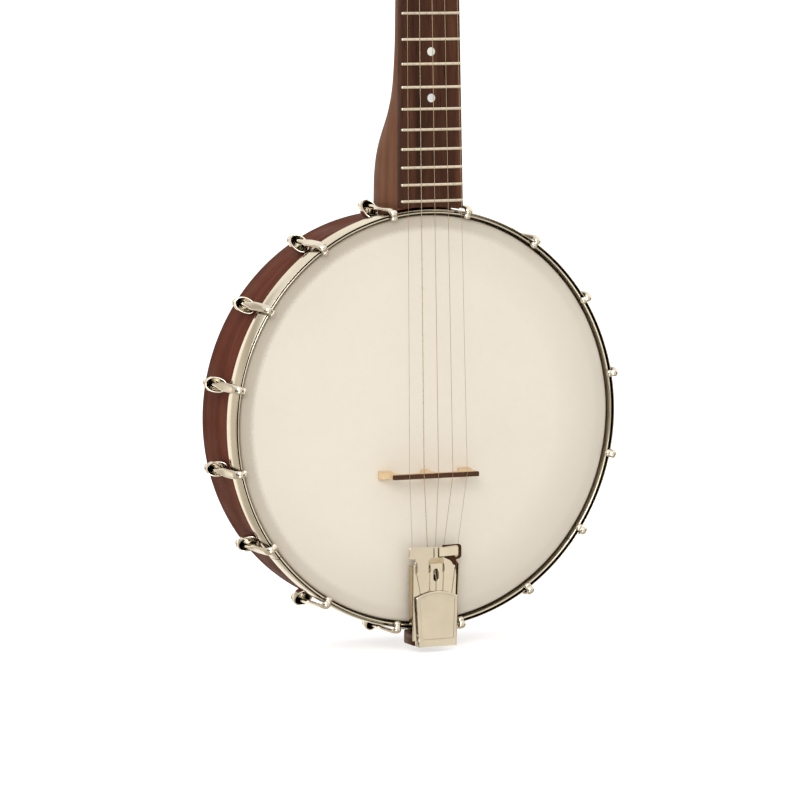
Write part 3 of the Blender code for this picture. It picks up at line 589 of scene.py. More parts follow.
def ivory(name, light, dark, rough=(0.25, 0.4), swirl=0.4, subsurface=0.08):
    """Bone, pearl or cream plastic with faint layers."""
    look = Look(name)
    where = look.place()
    layers = look.noise(look.scaled((60.0, 260.0, 40.0), where), rough=0.6, distortion=0.8)
    grit = look.noise(where, scale=900.0, detail=3.0)
    look.set("Base Color", look.mix(
        look.times(look.range(layers, over=(0.35, 0.65)), swirl * 2), lin(light), lin(dark)))
    look.set("Roughness", look.range(grit, over=(0.35, 0.65), to=rough))
    look.set("Subsurface Weight", subsurface)
    look.set("Subsurface Radius", (0.002, 0.0014, 0.0008))
    look.set("Subsurface Scale", 0.5)
    look.bump(grit, distance=0.00002)
    return look.mat


def wound(name, colour, pitch):
    """Wrapped string: fine turns across its length, with painted shade darkening the grooves
    between turns.
    """
    look = Look(name, metallic=1.0, roughness=0.3)
    _, _, z = look.split(look.place())
    turns = look.math("SINE", look.times(z, math.tau / pitch))
    # painted shade: the colour darkens where the turns dip, in the grooves between them
    look.set("Base Color", look.mix(look.range(turns, over=(-1.0, 1.0)), lin(colour, 0.55),
                                    lin(colour)))
    look.set("Roughness", look.range(look.noise(look.place(), scale=300.0), over=(0.3, 0.7),
                                     to=(0.22, 0.4)))
    look.bump(turns, distance=0.00006)
    return look.mat


NICKEL = nickel("nickel_plate", (236, 229, 214), rough=(0.10, 0.2), tarnish=0.12,
                stain=(176, 152, 120))
HOOP_METAL = nickel("hoop_nickel", (236, 229, 213), rough=(0.10, 0.17), tarnish=0.1,
                    stain=(176, 152, 120), seams=(-128.5, 129.0), grime_and_shade=0.62)
HARDWARE = nickel("hardware_plate", (240, 233, 219), rough=(0.06, 0.13), tarnish=0.12,
                  stain=(160, 134, 100), reach=0.0035)
TAIL_METAL = nickel("tailpiece_nickel", (238, 230, 214), rough=(0.14, 0.22), tarnish=0.08,
                    stain=(190, 168, 134), scratch=0.25, grime_and_shade=0.6, reach=0.0014)
# painted shade: the tailpiece's side walls get a darker copy of its metal, for the shade they
# stand in
WALL_METAL_PAINTED_SHADE = nickel("wall_nickel_painted_shade", (198, 182, 156), rough=(0.18, 0.28), tarnish=0.2,
                    stain=(150, 124, 92), scratch=0.25, grime_and_shade=0.8, reach=0.004)
TONGUE_METAL = nickel("tongue_nickel", (212, 196, 168), rough=(0.3, 0.42), tarnish=0.4,
                      stain=(150, 124, 92), scratch=1.0)
# painted shade: a dark brown copy of the plated metal, for a plate, a block and the hanger
# where the tailpiece lies in shade
PAINTED_SHADE_METAL = nickel("painted_shade_metal", (84, 54, 36), rough=(0.32, 0.45), tarnish=0.6,
                    stain=(48, 30, 20))
STEEL = nickel("rod_steel", (170, 165, 155), rough=(0.22, 0.4), tarnish=0.35,
               stain=(110, 84, 62), scratch=1.2)
FRET_METAL = nickel("fret_nickel_silver", (238, 228, 212), rough=(0.15, 0.28), tarnish=0.2)
STRING_METAL = nickel("string_steel", (196, 178, 150), rough=(0.34, 0.46), tarnish=0.2,
                      grime_and_shade=0.2)
WOUND_METAL = wound("wound_string", (232, 212, 178), pitch=0.00055)
RIM_WOOD = wood("rim_wood", ((84, 40, 27), (98, 49, 34), (114, 61, 43)), grain=0,
                pore_colour=(66, 30, 20), pores=0.45, spec=0.03, on_rim=True)
NECK_WOOD = wood("neck_wood", ((104, 63, 43), (117, 75, 53), (130, 88, 64)), grain=2,
                 pore_colour=(72, 40, 26), pores=0.4)
BOARD_WOOD = wood("fingerboard_wood", ((44, 26, 19), (70, 42, 30), (98, 62, 44)), grain=2,
                  pore_colour=(22, 12, 9), ring_scale=1.1, rough=(0.4, 0.55), pores=0.8)
MAPLE = wood("bridge_maple", ((200, 166, 124), (222, 192, 150), (236, 212, 176)), grain=0,
             pore_colour=(150, 104, 64), ring_scale=1.6, rough=(0.4, 0.5), pores=0.25,
             coat=0.1)
EBONY = wood("bridge_ebony", ((50, 32, 23), (72, 48, 35), (96, 66, 48)), grain=0,
             pore_colour=(26, 16, 12), ring_scale=1.4)
FILM = film()
BONE = ivory("bone", (236, 226, 200), (222, 206, 170))
PLASTIC = ivory("button_plastic", (226, 214, 188), (208, 190, 156), rough=(0.2, 0.34))
PEARL = ivory("pearl", (232, 230, 222), (206, 212, 208), rough=(0.12, 0.24), swirl=0.5,
              subsurface=0.0)


# ---- pot: profiles are (radius, height forward of y = 0, corner radius) ----
rim_profile = rounded([(RIM_R, 62.6, 0.8), (RIM_R, 0.0, 1.0), (RIM_R_IN, 0.0, 1.0),
                       (RIM_R_IN, 61.5, 0.8), (130.0, 63.6, 1.5), (133.5, 65.2, 2.5),
                       (136.5, 65.7, 2.5), (138.6, 65.2, 1.5)], 4)
rim = raw("rim_shell", pot_lathe(rim_profile))
for low, high in ((120, 150), (-150, -120)):
    bore(rim, from_pot(0, ROD_Y, low), from_pot(0, ROD_Y, high), 3.4, 32)
piece(rim, RIM_WOOD, "rim")

# the head: flat front, turned back over the rim as a thin skirt
HEAD_T = 0.3
HEAD_RADII = (0.0, 20, 40, 60, 80, 100, 115, 125, 131, 136)
HEAD_EDGE = [
    (137.6, 66.28), (138.6, 66.18), (139.3, 65.9), (139.9, 65.4), (140.25, 64.6),
    (140.3, 63.4), (140.3, 57.3), (140.0, 57.3), (140.0, 63.4), (139.9, 64.4),
    (139.6, 65.1), (139.1, 65.6), (138.4, 65.88), (137.4, 65.98)]
head_profile = ([(r, HEAD_H) for r in HEAD_RADII] + HEAD_EDGE
                + [(r, HEAD_H - HEAD_T) for r in reversed(HEAD_RADII)])
make("head_skin", pot_lathe(head_profile, closed=False), FILM, "head", sharp=50)
make("flesh_hoop", pot_lathe(rounded([(142.5, 57.1, 0.7), (142.5, 52.4, 0.7),
                                      (140.1, 52.4, 0.7), (140.1, 57.1, 0.7)], 3)), STEEL)

# tension hoop: a bowed outer face, then a grooved front edge and a stepped inside
HOOP_BOW = [
    (143.45, 51.05), (143.8, 51.7), (144.2, 52.8), (144.55, 54.2), (144.85, 56.0),
    (145.08, 58.0), (145.2, 60.0), (145.22, 62.0), (145.14, 64.4), (144.96, 66.8),
    (144.76, 68.5), (144.5, 69.2)]
HOOP_INSIDE = [
    (144.72, 69.2), (144.5, 69.85, 0.35), (144.2, 69.4, 0.3), (144.05, 61.9, 0.2),
    (143.0, 61.9, 0.2), (143.0, 68.5, 0.55), (141.9, 68.5, 0.62), (141.9, 61.8, 0.4),
    (141.45, 60.0, 0.3), (141.45, 57.5, 0.3), (142.8, 57.5, 0.2), (142.75, 51.0, 0.15),
    (143.4, 51.0, 0.05)]
make("tension_hoop_band", pot_lathe(spline(HOOP_BOW, 3) + rounded(HOOP_INSIDE, 6)[1:]),
     HOOP_METAL, "tension_hoop", sharp=45)


# ---- brackets: drawn at the top of the pot, z = radius, then turned round --
BRACKETS = [11.3 + 22.7 * k for k in range(8)]  # degrees from the top
BRACKETS += [360.0 - a for a in reversed(BRACKETS)]
LUG_BACK, LUG_MID = 24.2, 146.7                 # back end, and radius of the cup's middle


def lug_ring(scale, level, inside=False, sides=48):
    """One ring of the cup: level 0 at its domed back, 1 at its slanting opening."""
    ring = []
    for i in range(sides):
        angle = math.tau * (i + 0.5) / sides
        across, outward = math.cos(angle), math.sin(angle)
        front = 39.4 - 0.78 * (LUG_MID + 6.0 * outward - 140.7)
        height = LUG_BACK + (front - LUG_BACK) * level
        dome = math.sqrt(max(0.0, 1 - (min(height - 29.6, 0.0) / 5.45) ** 2))
        grow = scale if inside else scale * max(dome, 0.12)
        if outward >= 0:
            x = 5.35 * grow * across
            z = LUG_MID + 5.9 * grow * outward
        else:
            x = 5.35 * grow * math.copysign(abs(across) ** 0.8, across)
            z = LUG_MID - 6.7 * grow * abs(outward)
        ring.append((x, -height, max(z, 141.0 if inside else 140.0)))
    return ring


# (level, scale) up the outside, then down the inside
LUG_OUTER = ([(0.0, 0.3)]
             + [(level, 1.0) for level in (0.004, 0.02, 0.05, 0.09, 0.14, 0.2, 0.27, 0.35,
                                           0.45, 0.6, 0.75, 0.88, 0.95)]
             + [(0.985, 0.985), (1.0, 0.955)])
LUG_INNER = [(1.0, 0.88), (0.985, 0.85), (0.95, 0.84), (0.8, 0.835), (0.6, 0.82), (0.4, 0.78),
             (0.28, 0.68), (0.2, 0.52), (0.16, 0.34), (0.15, 0.1)]
lug_shape = loft([lug_ring(scale, level) for level, scale in LUG_OUTER]
                 + [lug_ring(scale, level, True) for level, scale in LUG_INNER])

# hook centreline (radius, height): a straight shank, then a claw over the hoop
hook_line = [(HOOK_R, h) for h in (25.4, 29, 33, 37, 41, 45, 49, 53, 57, 60, 63, 66.0)]
hook_line += spline([(HOOK_R, 66.0), (147.92, 67.7), (147.5, 69.4), (146.7, 70.9),
                     (145.6, 71.75), (144.5, 71.75), (143.5, 71.3), (142.6, 70.95),
                     (141.7, 70.85), (140.9, 70.85), (140.1, 70.85)], 3)[1:]
arc = [0.0]
for (r0, h0), (r1, h1) in zip(hook_line, hook_line[1:]):
    arc.append(arc[-1] + math.hypot(r1 - r0, h1 - h0))
total = arc[-1]
# half width, half thickness and superellipse power, each by arc length
HALF_WIDTH = [
    (0, 1.7), (16.5, 1.7), (19.5, 2.2), (23, 3.0), (27, 3.2), (34, 3.1), (40, 3.0),
    (total - 9.4, 2.9), (total - 6.6, 2.95), (total - 5.2, 2.75), (total - 4.2, 2.1),
    (total - 3.4, 2.15), (total - 2.2, 2.7), (total - 1.1, 2.5), (total - 0.4, 1.7),
    (total, 0.5)]
HALF_THICK = [
    (0, 1.7), (16.5, 1.7), (19.5, 1.45), (23, 1.15), (30, 1.1), (40, 1.25),
    (total - 9.4, 1.5), (total - 6.6, 2.0), (total - 5.2, 2.0), (total - 4.2, 1.6),
    (total - 3.4, 1.65), (total - 2.2, 2.05), (total - 1.1, 1.9), (total - 0.4, 1.3),
    (total, 0.45)]
POWER = [(0, 2.0), (14, 2.0), (21, 4.5), (34, 3.6), (42, 2.2), (total, 2.0)]
hook_sections = [superellipse(look_up(HALF_WIDTH, s), look_up(HALF_THICK, s),
                              look_up(POWER, s), 20) for s in arc]
hook_shape = sweep([(0.0, -h, r) for r, h in hook_line], hook_sections, side=(1, 0, 0))


def hex_ring(radius, hexed, sides=36, corner=1.13):
    """A ring between round (hexed 0) and a hexagon of that apothem (hexed 1), its
    corners cut at corner times the apothem."""
    ring = []
    for i in range(sides):
        angle = math.tau * i / sides
        hexagon = radius / math.cos((angle + math.pi / 6) % (math.pi / 3) - math.pi / 6)
        reach = radius * (1 - hexed) + min(hexagon, radius * corner) * hexed
        ring.append((reach * math.cos(angle), reach * math.sin(angle)))
    return ring


# collar, hexagon, slim neck and ball end: (height, radius, hexed)
NUT_STATIONS = [
    (25.2, 2.0, 0), (25.2, 3.3, 0), (25.0, 3.5, 0), (24.5, 3.5, 0), (24.3, 3.2, 0),
    (24.2, 3.0, 0.2), (23.9, 3.0, 1), (22.6, 3.0, 1), (22.3, 2.9, 0.3), (22.15, 2.4, 0),
    (22.0, 1.95, 0), (21.7, 1.9, 0), (21.4, 2.05, 0), (20.9, 2.25, 0), (20.3, 2.3, 0),
    (19.7, 2.15, 0), (19.2, 1.75, 0), (18.9, 1.2, 0), (18.8, 0.3, 0)]
nut_shape = loft([[(x, -h, HOOK_R + out) for x, out in hex_ring(radius, hexed)]
                  for h, radius, hexed in NUT_STATIONS])

# washer and hexagon head inside the rim: (distance from the pot's axis, radius, hexed)
BOLT_H = 31.75
BOLT_STATIONS = [
    (128.6, 5.6, 0), (127.9, 5.6, 0), (127.75, 5.4, 0), (127.7, 3.9, 0), (127.6, 3.7, 1),
    (124.9, 3.7, 1), (124.5, 3.5, 0.3), (124.3, 3.0, 0), (124.25, 0.4, 0)]
bolt_shape = loft([[(x, -BOLT_H + y, depth) for x, y in hex_ring(radius, hexed)]
                   for depth, radius, hexed in BOLT_STATIONS])


def around(name, shape, sharp, replaces=None):
    """One copy of a shape at each bracket, all sharing a mesh."""
    source = raw(name + "_source", shape, sharp)
    for i, angle in enumerate(BRACKETS, 1):
        obj = link(f"{name}_{i:02d}", source.data)
        obj.location = (0, 0, POT_Z * MM)
        obj.rotation_euler = (0, math.radians(angle), 0)
        piece(obj, HARDWARE, replaces and f"{replaces}_{i:02d}")
    bpy.data.objects.remove(source, do_unlink=True)


around("shoe", lug_shape, 60, "bracket_shoe")
around("hook", hook_shape, 60, "hook_and_nut")
around("hook_nut", nut_shape, 30)
around("shoe_bolt", bolt_shape, 30)


# ---- coordinator rod: across the pot along Z -------------------------------
ROD_FRAME = Matrix.Translation(from_pot(0, ROD_Y, 0))
# (radius, z, corner radius)
ROD_PROFILE = [(0.0, 160.0), (3.1, 160.0, 0.5), (3.1, 127.8), (4.0, 127.8), (4.0, -127.8),
               (3.1, -127.8), (3.1, -150.6, 0.5), (0.0, -150.6)]
make("coordinator_shaft", turned_pin(ROD_PROFILE, 3, ROD_FRAME, 40), STEEL,
     "coordinator_rod")


def hex_nut(low, high, apothem, hole, sides=48):
    """A bored hexagon nut on the rod, with chamfered ends."""
    rings = [[(x, y, low) for x, y in circle(hole, sides)]]
    for z, scale, hexed in [(low, 0.9, 0), (low + 0.5, 1.0, 1), (high - 0.5, 1.0, 1),
                            (high, 0.9, 0)]:
        rings.append([(x, y, z) for x, y in hex_ring(apothem * scale, hexed, sides, 1.12)])
    rings.append([(x, y, high) for x, y in circle(hole, sides)])
    return moved(skin(rings, close_path=True), ROD_FRAME)


# (low, high, apothem, hole radius)
ROD_NUTS = [(121.6, 127.6, 6.0, 4.0), (-127.6, -121.6, 6.0, 4.0), (-148.6, -143.2, 5.6, 3.6)]
for i, nut_sizes in enumerate(ROD_NUTS, 1):
    make(f"coordinator_nut_{i}", hex_nut(*nut_sizes), HARDWARE)


# ---- neck: its frame has the board's face at y = 0 and z along the board ---
NECK = placed(from_pot(0, BOARD_Y, BOARD_Z), -NECK_TILT)


def fret_along(n):
    """Where a fret lies along the neck; fret 0 is the nut."""
    return (BRIDGE_Z + SCALE * 2 ** (-n / 12) - BOARD_Z) / math.cos(NECK_TILT)


NUT_AT, FIFTH_AT = fret_along(0), fret_along(5)
HEAD_AT = NUT_AT + 5.0
BOARD_BACK = BOARD_T + GAP
# headstock frame: front face at y = 0, z up from its lower end
STOCK = NECK @ placed((0, BOARD_BACK, HEAD_AT), -HEADSTOCK_TILT)
STEP_AT = [FIFTH_AT + d for d in np.arange(12, 32, 1.5)]  # where the left side steps in


def half_right(along):
    return (BOARD_HALF + (NUT_HALF - BOARD_HALF) * along / NUT_AT
            + 0.8 * (1 - along / NUT_AT))


def half_left(along):
    wide = BOARD_HALF + (20.9 - BOARD_HALF) * along / FIFTH_AT
    narrow = 17.6 + (NUT_HALF - 17.6) * (along - FIFTH_AT) / (NUT_AT - FIFTH_AT)
    blend = smoothstep(FIFTH_AT + 15, FIFTH_AT + 29, along)
    return wide * (1 - blend) + narrow * blend


# (place along the neck, depth behind the board's face)
DEPTH = [
    (-16, 59.4), (0, 59.4), (12, 59.3), (24, 58.9), (34, 57.4), (44, 53.6), (53, 48.0),
    (61, 42.4), (69, 37.2), (78, 33), (88, 30), (100, 27.6), (116, 25.6), (140, 24.4),
    (230, 23.2), (330, 22.2), (440, 20.8), (478, 20.6), (489, 22.0)]
# (place along the neck, superellipse power of the section)
SQUARE = [(-16, 4.2), (20, 4.0), (40, 3.4), (60, 2.6), (80, 2.25), (110, 2.1), (489, 2.1)]
GRID = np.arange(-40, 560, 1.0)
KERNEL = np.exp(-0.5 * (np.arange(-12, 13) / 4.0) ** 2)
KERNEL /= KERNEL.sum()


def softened(table):
    """The table on GRID, smoothed by the Gaussian kernel."""
    values = np.interp(GRID, [row[0] for row in table], [row[1] for row in table])
    padded = np.concatenate([np.full(12, values[0]), values, np.full(12, values[-1])])
    return np.convolve(padded, KERNEL, mode="valid")


DEPTHS, SQUARES = softened(DEPTH), softened(SQUARE)


def neck_section(along, count=40):
    """A half superellipse behind the board, thinning under the headstock."""
    top = BOARD_BACK
    depth = float(np.interp(along, GRID, DEPTHS)) - top
    power = float(np.interp(along, GRID, SQUARES))
    past = along - HEAD_AT
    if past > 0:
        top += past * math.tan(HEADSTOCK_TILT) + 0.4
        bottom = 20.68 + 0.2309 * past + 1.32 * (1 - past / 22.0)
        depth = max(bottom, top + 1.0) - top
    ring = []
    left, right = half_left(min(along, NUT_AT)), half_right(min(along, NUT_AT))
    for i in range(count + 1):
        angle = math.pi * i / count
        c, s = math.cos(angle), math.sin(angle)
        x = math.copysign(abs(c) ** (2 / power), c)
        ring.append((x * (right if x > 0 else left), top + depth * s ** (2 / power), along))
    return ring


neck_stations = sorted(set(
    list(np.arange(-16, 130, 3.0)) + list(np.arange(130, NUT_AT, 12.0)) + STEP_AT
    + [NUT_AT, HEAD_AT] + list(HEAD_AT + np.arange(2, 32, 3.0))))
neck = raw("neck_body", moved(loft([neck_section(s) for s in neck_stations]), NECK))

# right half of the headstock outline: (height, half width)
HEADSTOCK_HALF = [
    (0, 11.8), (3, 14.4), (7, 16.6), (14, 19.3), (21, 23.2), (28, 27.0), (36, 29.6),
    (46, 30.8), (66, 30.2), (86, 29.6), (104, 30.4), (118, 32.2), (128, 33.0),
    (136, 31.4), (142.5, 27.0), (147, 20.5), (149.5, 13.5), (149, 7.5), (146.5, 3.0)]
right_half = spline([(x, z) for z, x in HEADSTOCK_HALF] + [(0.0, 146.0)], 4)
headstock_outline = right_half + [(-x, z) for x, z in reversed(right_half[:-1])]
headstock = plate([headstock_outline], 0.0, HEADSTOCK_T, bevel=0.9, res=3)
boolean(neck, moved(headstock, STOCK), "UNION")

# tuner posts: (side of the headstock, height up it, string number)
POSTS = [(-1, 44.0, 4), (1, 44.0, 1), (-1, 98.0, 3), (1, 98.0, 2)]
POST_X = 19.5
for side, up, _ in POSTS:
    bore(neck, (side * POST_X, -5, up), (side * POST_X, 20, up), 4.3, 40, STOCK)
# the heel is hollowed to the rim, and further in front to clear the hoop
bore(neck, from_pot(0, 20, 0), from_pot(0, -100, 0), RIM_R + GAP, 256)
bore(neck, from_pot(0, -50.2, 0), from_pot(0, -100, 0), 146.0, 256)
bore(neck, from_pot(0, ROD_Y, 130), from_pot(0, ROD_Y, 168), 3.5, 32)
FIFTH_PEG_AT, FIFTH_PEG_Y = FIFTH_AT + 10.5, 9.7
bore(neck, (-30, FIFTH_PEG_Y, FIFTH_PEG_AT), (-9, FIFTH_PEG_Y, FIFTH_PEG_AT), 3.0, 32, NECK)
piece(neck, NECK_WOOD, "neck")

board_rings = []
for along in sorted(set(list(np.arange(0, NUT_AT - 1, 12.0)) + STEP_AT
                        + [0.3, NUT_AT - GAP])):
    inset = 0.35 if along < 0.2 else 0.0
    left, right = -half_left(along) + inset, half_right(along) - inset
    ring = rounded([(left, 0.0 + inset, 0.5), (right, 0.0 + inset, 0.5),
                    (right, BOARD_T, 0.12), (left, BOARD_T, 0.12)], 3)
    board_rings.append([(x, y, along) for x, y in ring])
make("fingerboard_blank", moved(loft(board_rings), NECK), BOARD_WOOD, "fingerboard")

FRET_HALF, FRET_H, FRET_SUNK = 1.15, 1.05, 0.25
# fret ends round off: (distance in from the end, scale of the section)
FRET_END = [(-0.12, 0.28), (0.05, 0.62), (0.3, 0.86), (0.75, 0.97), (1.3, 1.0)]


def fret_ring(x, along, scale):
    """A domed section across the fret at x."""
    half = FRET_HALF * scale
    ring = [(x, -FRET_H * scale * math.sin(math.pi * i / 10) ** 0.8,
             along + half * math.cos(math.pi * i / 10)) for i in range(11)]
    return ring + [(x, FRET_SUNK, along - half), (x, FRET_SUNK, along + half)]


for n in range(1, FRETS + 1):
    along = fret_along(n)
    left, right = -half_left(along) + 0.15, half_right(along) - 0.15
    stations = ([(left + inward, scale) for inward, scale in FRET_END]
                + [(x, 1.0) for x in np.linspace(left + 3, right - 3, 6)]
                + [(right - inward, scale) for inward, scale in reversed(FRET_END)])
    make(f"fret_{n:02d}", moved(loft([fret_ring(x, along, scale) for x, scale in stations]),
                                NECK), FRET_METAL, sharp=50)

DOT_PROFILE = [(0.0, 0.0), (2.9, 0.0), (3.0, -0.1), (3.0, -0.6), (0.0, -0.6)]
dots = []
for n in (3, 5, 7, 10, 12, 15, 17):
    for x in (-7.0, 7.0) if n == 12 else (0.0,):
        middle = (fret_along(n) + fret_along(n - 1)) / 2
        dots.append(moved(turned(DOT_PROFILE, placed((x, -0.03, middle)), 32), NECK))
make("position_dots", join(*dots), PEARL)

NUT_STRING_X = {4: -12.0, 3: -4.0, 2: 4.0, 1: 12.0}
nut = raw("nut_block", moved(box((-NUT_HALF, -1.3, NUT_AT), (NUT_HALF, BOARD_T, NUT_AT + 4.6),
                                 0.5, 3), NECK))
for x in NUT_STRING_X.values():
    bore(nut, (x, -1.75, NUT_AT - 3), (x, -1.75, NUT_AT + 8), 0.62, 12, NECK)
piece(nut, BONE, "string_nut")
fifth_pip = turned_pin([(0.0, 3.4), (1.3, 3.4, 0.5), (1.3, 0.0), (0.0, 0.0)], 3,
                       placed((-18.6, 0.0, FIFTH_AT - 1.5)), 24)
make("fifth_string_pip", moved(fifth_pip, NECK), BONE)


# ---- bridge: outlines are (x, height above the head) -----------------------
CAP_H = 13.1                                   # where the dark cap starts
BRIDGE_X = [0.7 + (k - 2) * 11.0 for k in range(5)]  # strings 5 to 1


def bridge_arch(centre, half_width, rise, steps=18):
    return [(centre - half_width * math.cos(math.pi * i / steps),
             rise * math.sin(math.pi * i / steps) ** 0.7) for i in range(steps + 1)]


def bridge_shape(loop, bevel):
    """An outline as a plate standing on the head, thicker towards its feet."""
    verts, faces = plate([loop], -0.5, 1.0, bevel)
    out = []
    for x, y, h in verts:
        thickness = 2 * (1.55 + 1.35 * smoothstep(8.0, 0.4, h))
        z = POT_Z + BRIDGE_Z - 0.75 - 0.008 * x + y * thickness
        out.append((x, -(HEAD_H + GAP) - h, z))
    return out, faces


left_side = spline([(37.2, 0.0), (37.25, 1.8), (36.5, 3.2), (35.1, 5.2), (33.6, 7.8),
                    (32.8, 10.4), (32.6, CAP_H)], 4)
body_loop = ([(31.9, 0.0), (32.0, 2.5), (32.3, 6.0), (32.6, CAP_H)]
             + [(-x, h) for x, h in reversed(left_side)]
             + bridge_arch(-16.6, 11.7, 8.8) + bridge_arch(11.8, 11.7, 9.6))
make("bridge_body", bridge_shape(body_loop, 0.07), MAPLE, "bridge", "bridge", sharp=30)
cap_loop = rounded([(32.6, CAP_H + 0.02, 0.1), (32.7, BRIDGE_H, 1.5), (-32.7, BRIDGE_H, 1.2),
                    (-32.6, CAP_H + 0.02, 0.1)], 6)
cap = raw("bridge_cap", bridge_shape(cap_loop, 0.14))
groove_y = -(HEAD_H + GAP + BRIDGE_H + 0.32)
for x in BRIDGE_X:
    bore(cap, from_pot(x, groove_y, BRIDGE_Z - 5), from_pot(x, groove_y, BRIDGE_Z + 5),
         0.75, 16)
piece(cap, EBONY, body="bridge")


# ---- tailpiece: outlines are (x, z from the pot's axis, corner radius) -----
# string places, strings 5 to 1: at the top edge, the slots and the pins
EDGE_X = [-15.3, -3.8, 2.3, 8.9, 19.6]
RISE_X = [-13.0, -2.9, 2.0, 7.7, 16.2]
END_X = [-8.6, -3.0, 2.0, 6.9, 13.2]


def oval_loop(left, right, low, high, radius, segs=6):
    return lift(rounded([(right, high, radius), (left, high, radius), (left, low, radius),
                         (right, low, radius)], segs))


def slab(name, loop, front, thickness, mat, bevel):
    make(name, plate([lift(rounded(loop, 5))], front, thickness, bevel, 3), mat, sharp=45)


# right wing, its face bounded by wide sloping edges
WING_FACE = [(18.6, -87.95, 1.4), (4.15, -88.0, 0.4), (4.15, -93.9, 0.6), (18.6, -93.7, 1.5)]
WING_BASE = [(20.1, -87.1, 2.2), (4.0, -87.45, 0.4), (4.0, -94.9, 0.6), (20.0, -95.3, 2.3)]
wing_front = TAIL_Y - 0.85
make("tailpiece_wing_right", loft(
    [[(x, y, z) for x, z in lift(rounded(loop, 6))] for loop, y in
     [(WING_FACE, wing_front), (WING_FACE, wing_front + 0.02), (WING_BASE, TAIL_Y + 0.75),
      (WING_BASE, TAIL_Y + 1.6)]]), TAIL_METAL, sharp=22)
# inner plate behind the right wing and beside the right wall, dark as painted shade
slab("tailpiece_inner_plate",
     [(7.5, -86.5, 0.4), (22.2, -86.4, 2.2), (22.2, -96.2, 2.4), (18.2, -97.0, 0.8),
      (17.9, -104.0, 2.0), (16.4, -149.5, 0.4), (13.5, -149.5, 0.4), (13.5, -99.0, 0.6),
      (9.0, -96.0, 0.6)], TAIL_Y + 1.25, 0.7, PAINTED_SHADE_METAL, 0.12)
# small cross tongue in front of the plate
slab("tailpiece_tongue",
     [(7.4, -95.0, 0.9), (7.75, -98.5, 0.7), (7.1, -100.2, 0.4), (6.5, -98.7, 0.5),
      (-2.4, -98.6, 0.5), (-2.9, -100.1, 0.4), (-3.6, -98.5, 0.7), (-3.3, -94.9, 0.9)],
     TAIL_Y - 0.75, 0.8, TONGUE_METAL, 0.3)

# front plate with the left wing, an oblong hole, a slit and four string slots
PLATE_OUT = [
    (16.2, -151.9, 0.3), (17.7, -107.5, 3.0), (17.0, -103.0, 5.0), (13.4, -97.4, 5.0),
    (7.9, -94.7, 0.8), (3.6, -94.6, 0.3), (3.45, -87.3, 0.4), (-18.3, -86.5, 1.6),
    (-18.6, -94.9, 1.3), (-13.4, -95.3, 0.7), (-13.7, -98.9, 0.5), (-15.0, -99.5, 0.5),
    (-15.3, -104.4, 0.6), (-15.3, -151.9, 0.3)]
SLOT_TOPS = {0: -97.4, 1: -98.9, 3: -98.9, 4: -100.6}  # by index in RISE_X
plate_loops = [lift(rounded(PLATE_OUT, 7)), oval_loop(0.1, 3.9, -111.0, -102.4, 1.8),
               oval_loop(0.15, 0.6, -94.8, -87.9, 0.2, 3)]
for i, slot_top in SLOT_TOPS.items():
    plate_loops.append(oval_loop(RISE_X[i] - 0.6, RISE_X[i] + 0.6, -105.0, slot_top, 0.5, 4))
make("tailpiece_plate", plate(plate_loops, TAIL_Y - 0.3, 1.5, 0.35, 3), TAIL_METAL,
     "tailpiece_base", sharp=35)


def side_wall(name, side, top, low, x_top, x_low, section):
    """A wall running back towards the head beside the plate, rounded at its upper end.
    The section is (outward x, y)."""
    section = spline(section, 3, True)
    rings = []
    for k in range(29):
        t = k / 28
        z = top + (low - top) * t
        opening = math.sqrt(max(0.0, 1 - (1 - min(t / 0.05, 1.0)) ** 2))
        middle = x_top + (x_low - x_top) * t
        ring = []
        for outward, y in section:
            y = -72.2 + (y + 72.2) * (0.35 + 0.65 * opening) if y < -72.2 else y
            ring.append(from_pot(middle + side * outward, y, z))
        rings.append(ring)
    make(name, loft(rings), WALL_METAL_PAINTED_SHADE, sharp=50)


ROLLED = [
    (-1.6, -76.05), (-1.4, -77.05), (-0.9, -77.25), (-0.45, -77.15), (-0.12, -76.8),
    (0.0, -76.2), (0.05, -74.5), (0.05, -72.0), (-0.1, -71.3), (-0.5, -71.1), (-0.9, -71.3),
    (-1.0, -72.0), (-1.0, -75.4), (-1.2, -75.85)]
THIN = [
    (-0.4, -77.5), (-0.15, -77.85), (0.15, -77.85), (0.4, -77.5), (0.4, -74.5),
    (0.4, -71.6), (0.0, -71.2), (-0.4, -71.6), (-0.4, -74.5)]
side_wall("tailpiece_side_left", -1, -99.6, -140.4, -16.1, -15.9, ROLLED)
side_wall("tailpiece_side_right", 1, -98.2, -150.4, 19.3, 17.0, THIN)
# screw head behind the oblong hole, on a block dark as painted shade
make("tension_screw", turned_pin([(0.0, 1.1), (1.7, 0.95, 0.4), (2.1, 0.2, 0.3),
                                  (2.1, -1.2, 0.2), (0.0, -1.2)], 4,
                                 placed(from_pot(2.0, -73.9, -105.2)), 32), STEEL)
slab("tension_block", [(-1.2, -101.6, 0.6), (5.2, -101.6, 0.6), (5.2, -112.0, 0.6),
                       (-1.2, -112.0, 0.6)], -72.6, 2.2, PAINTED_SHADE_METAL, 0.4)

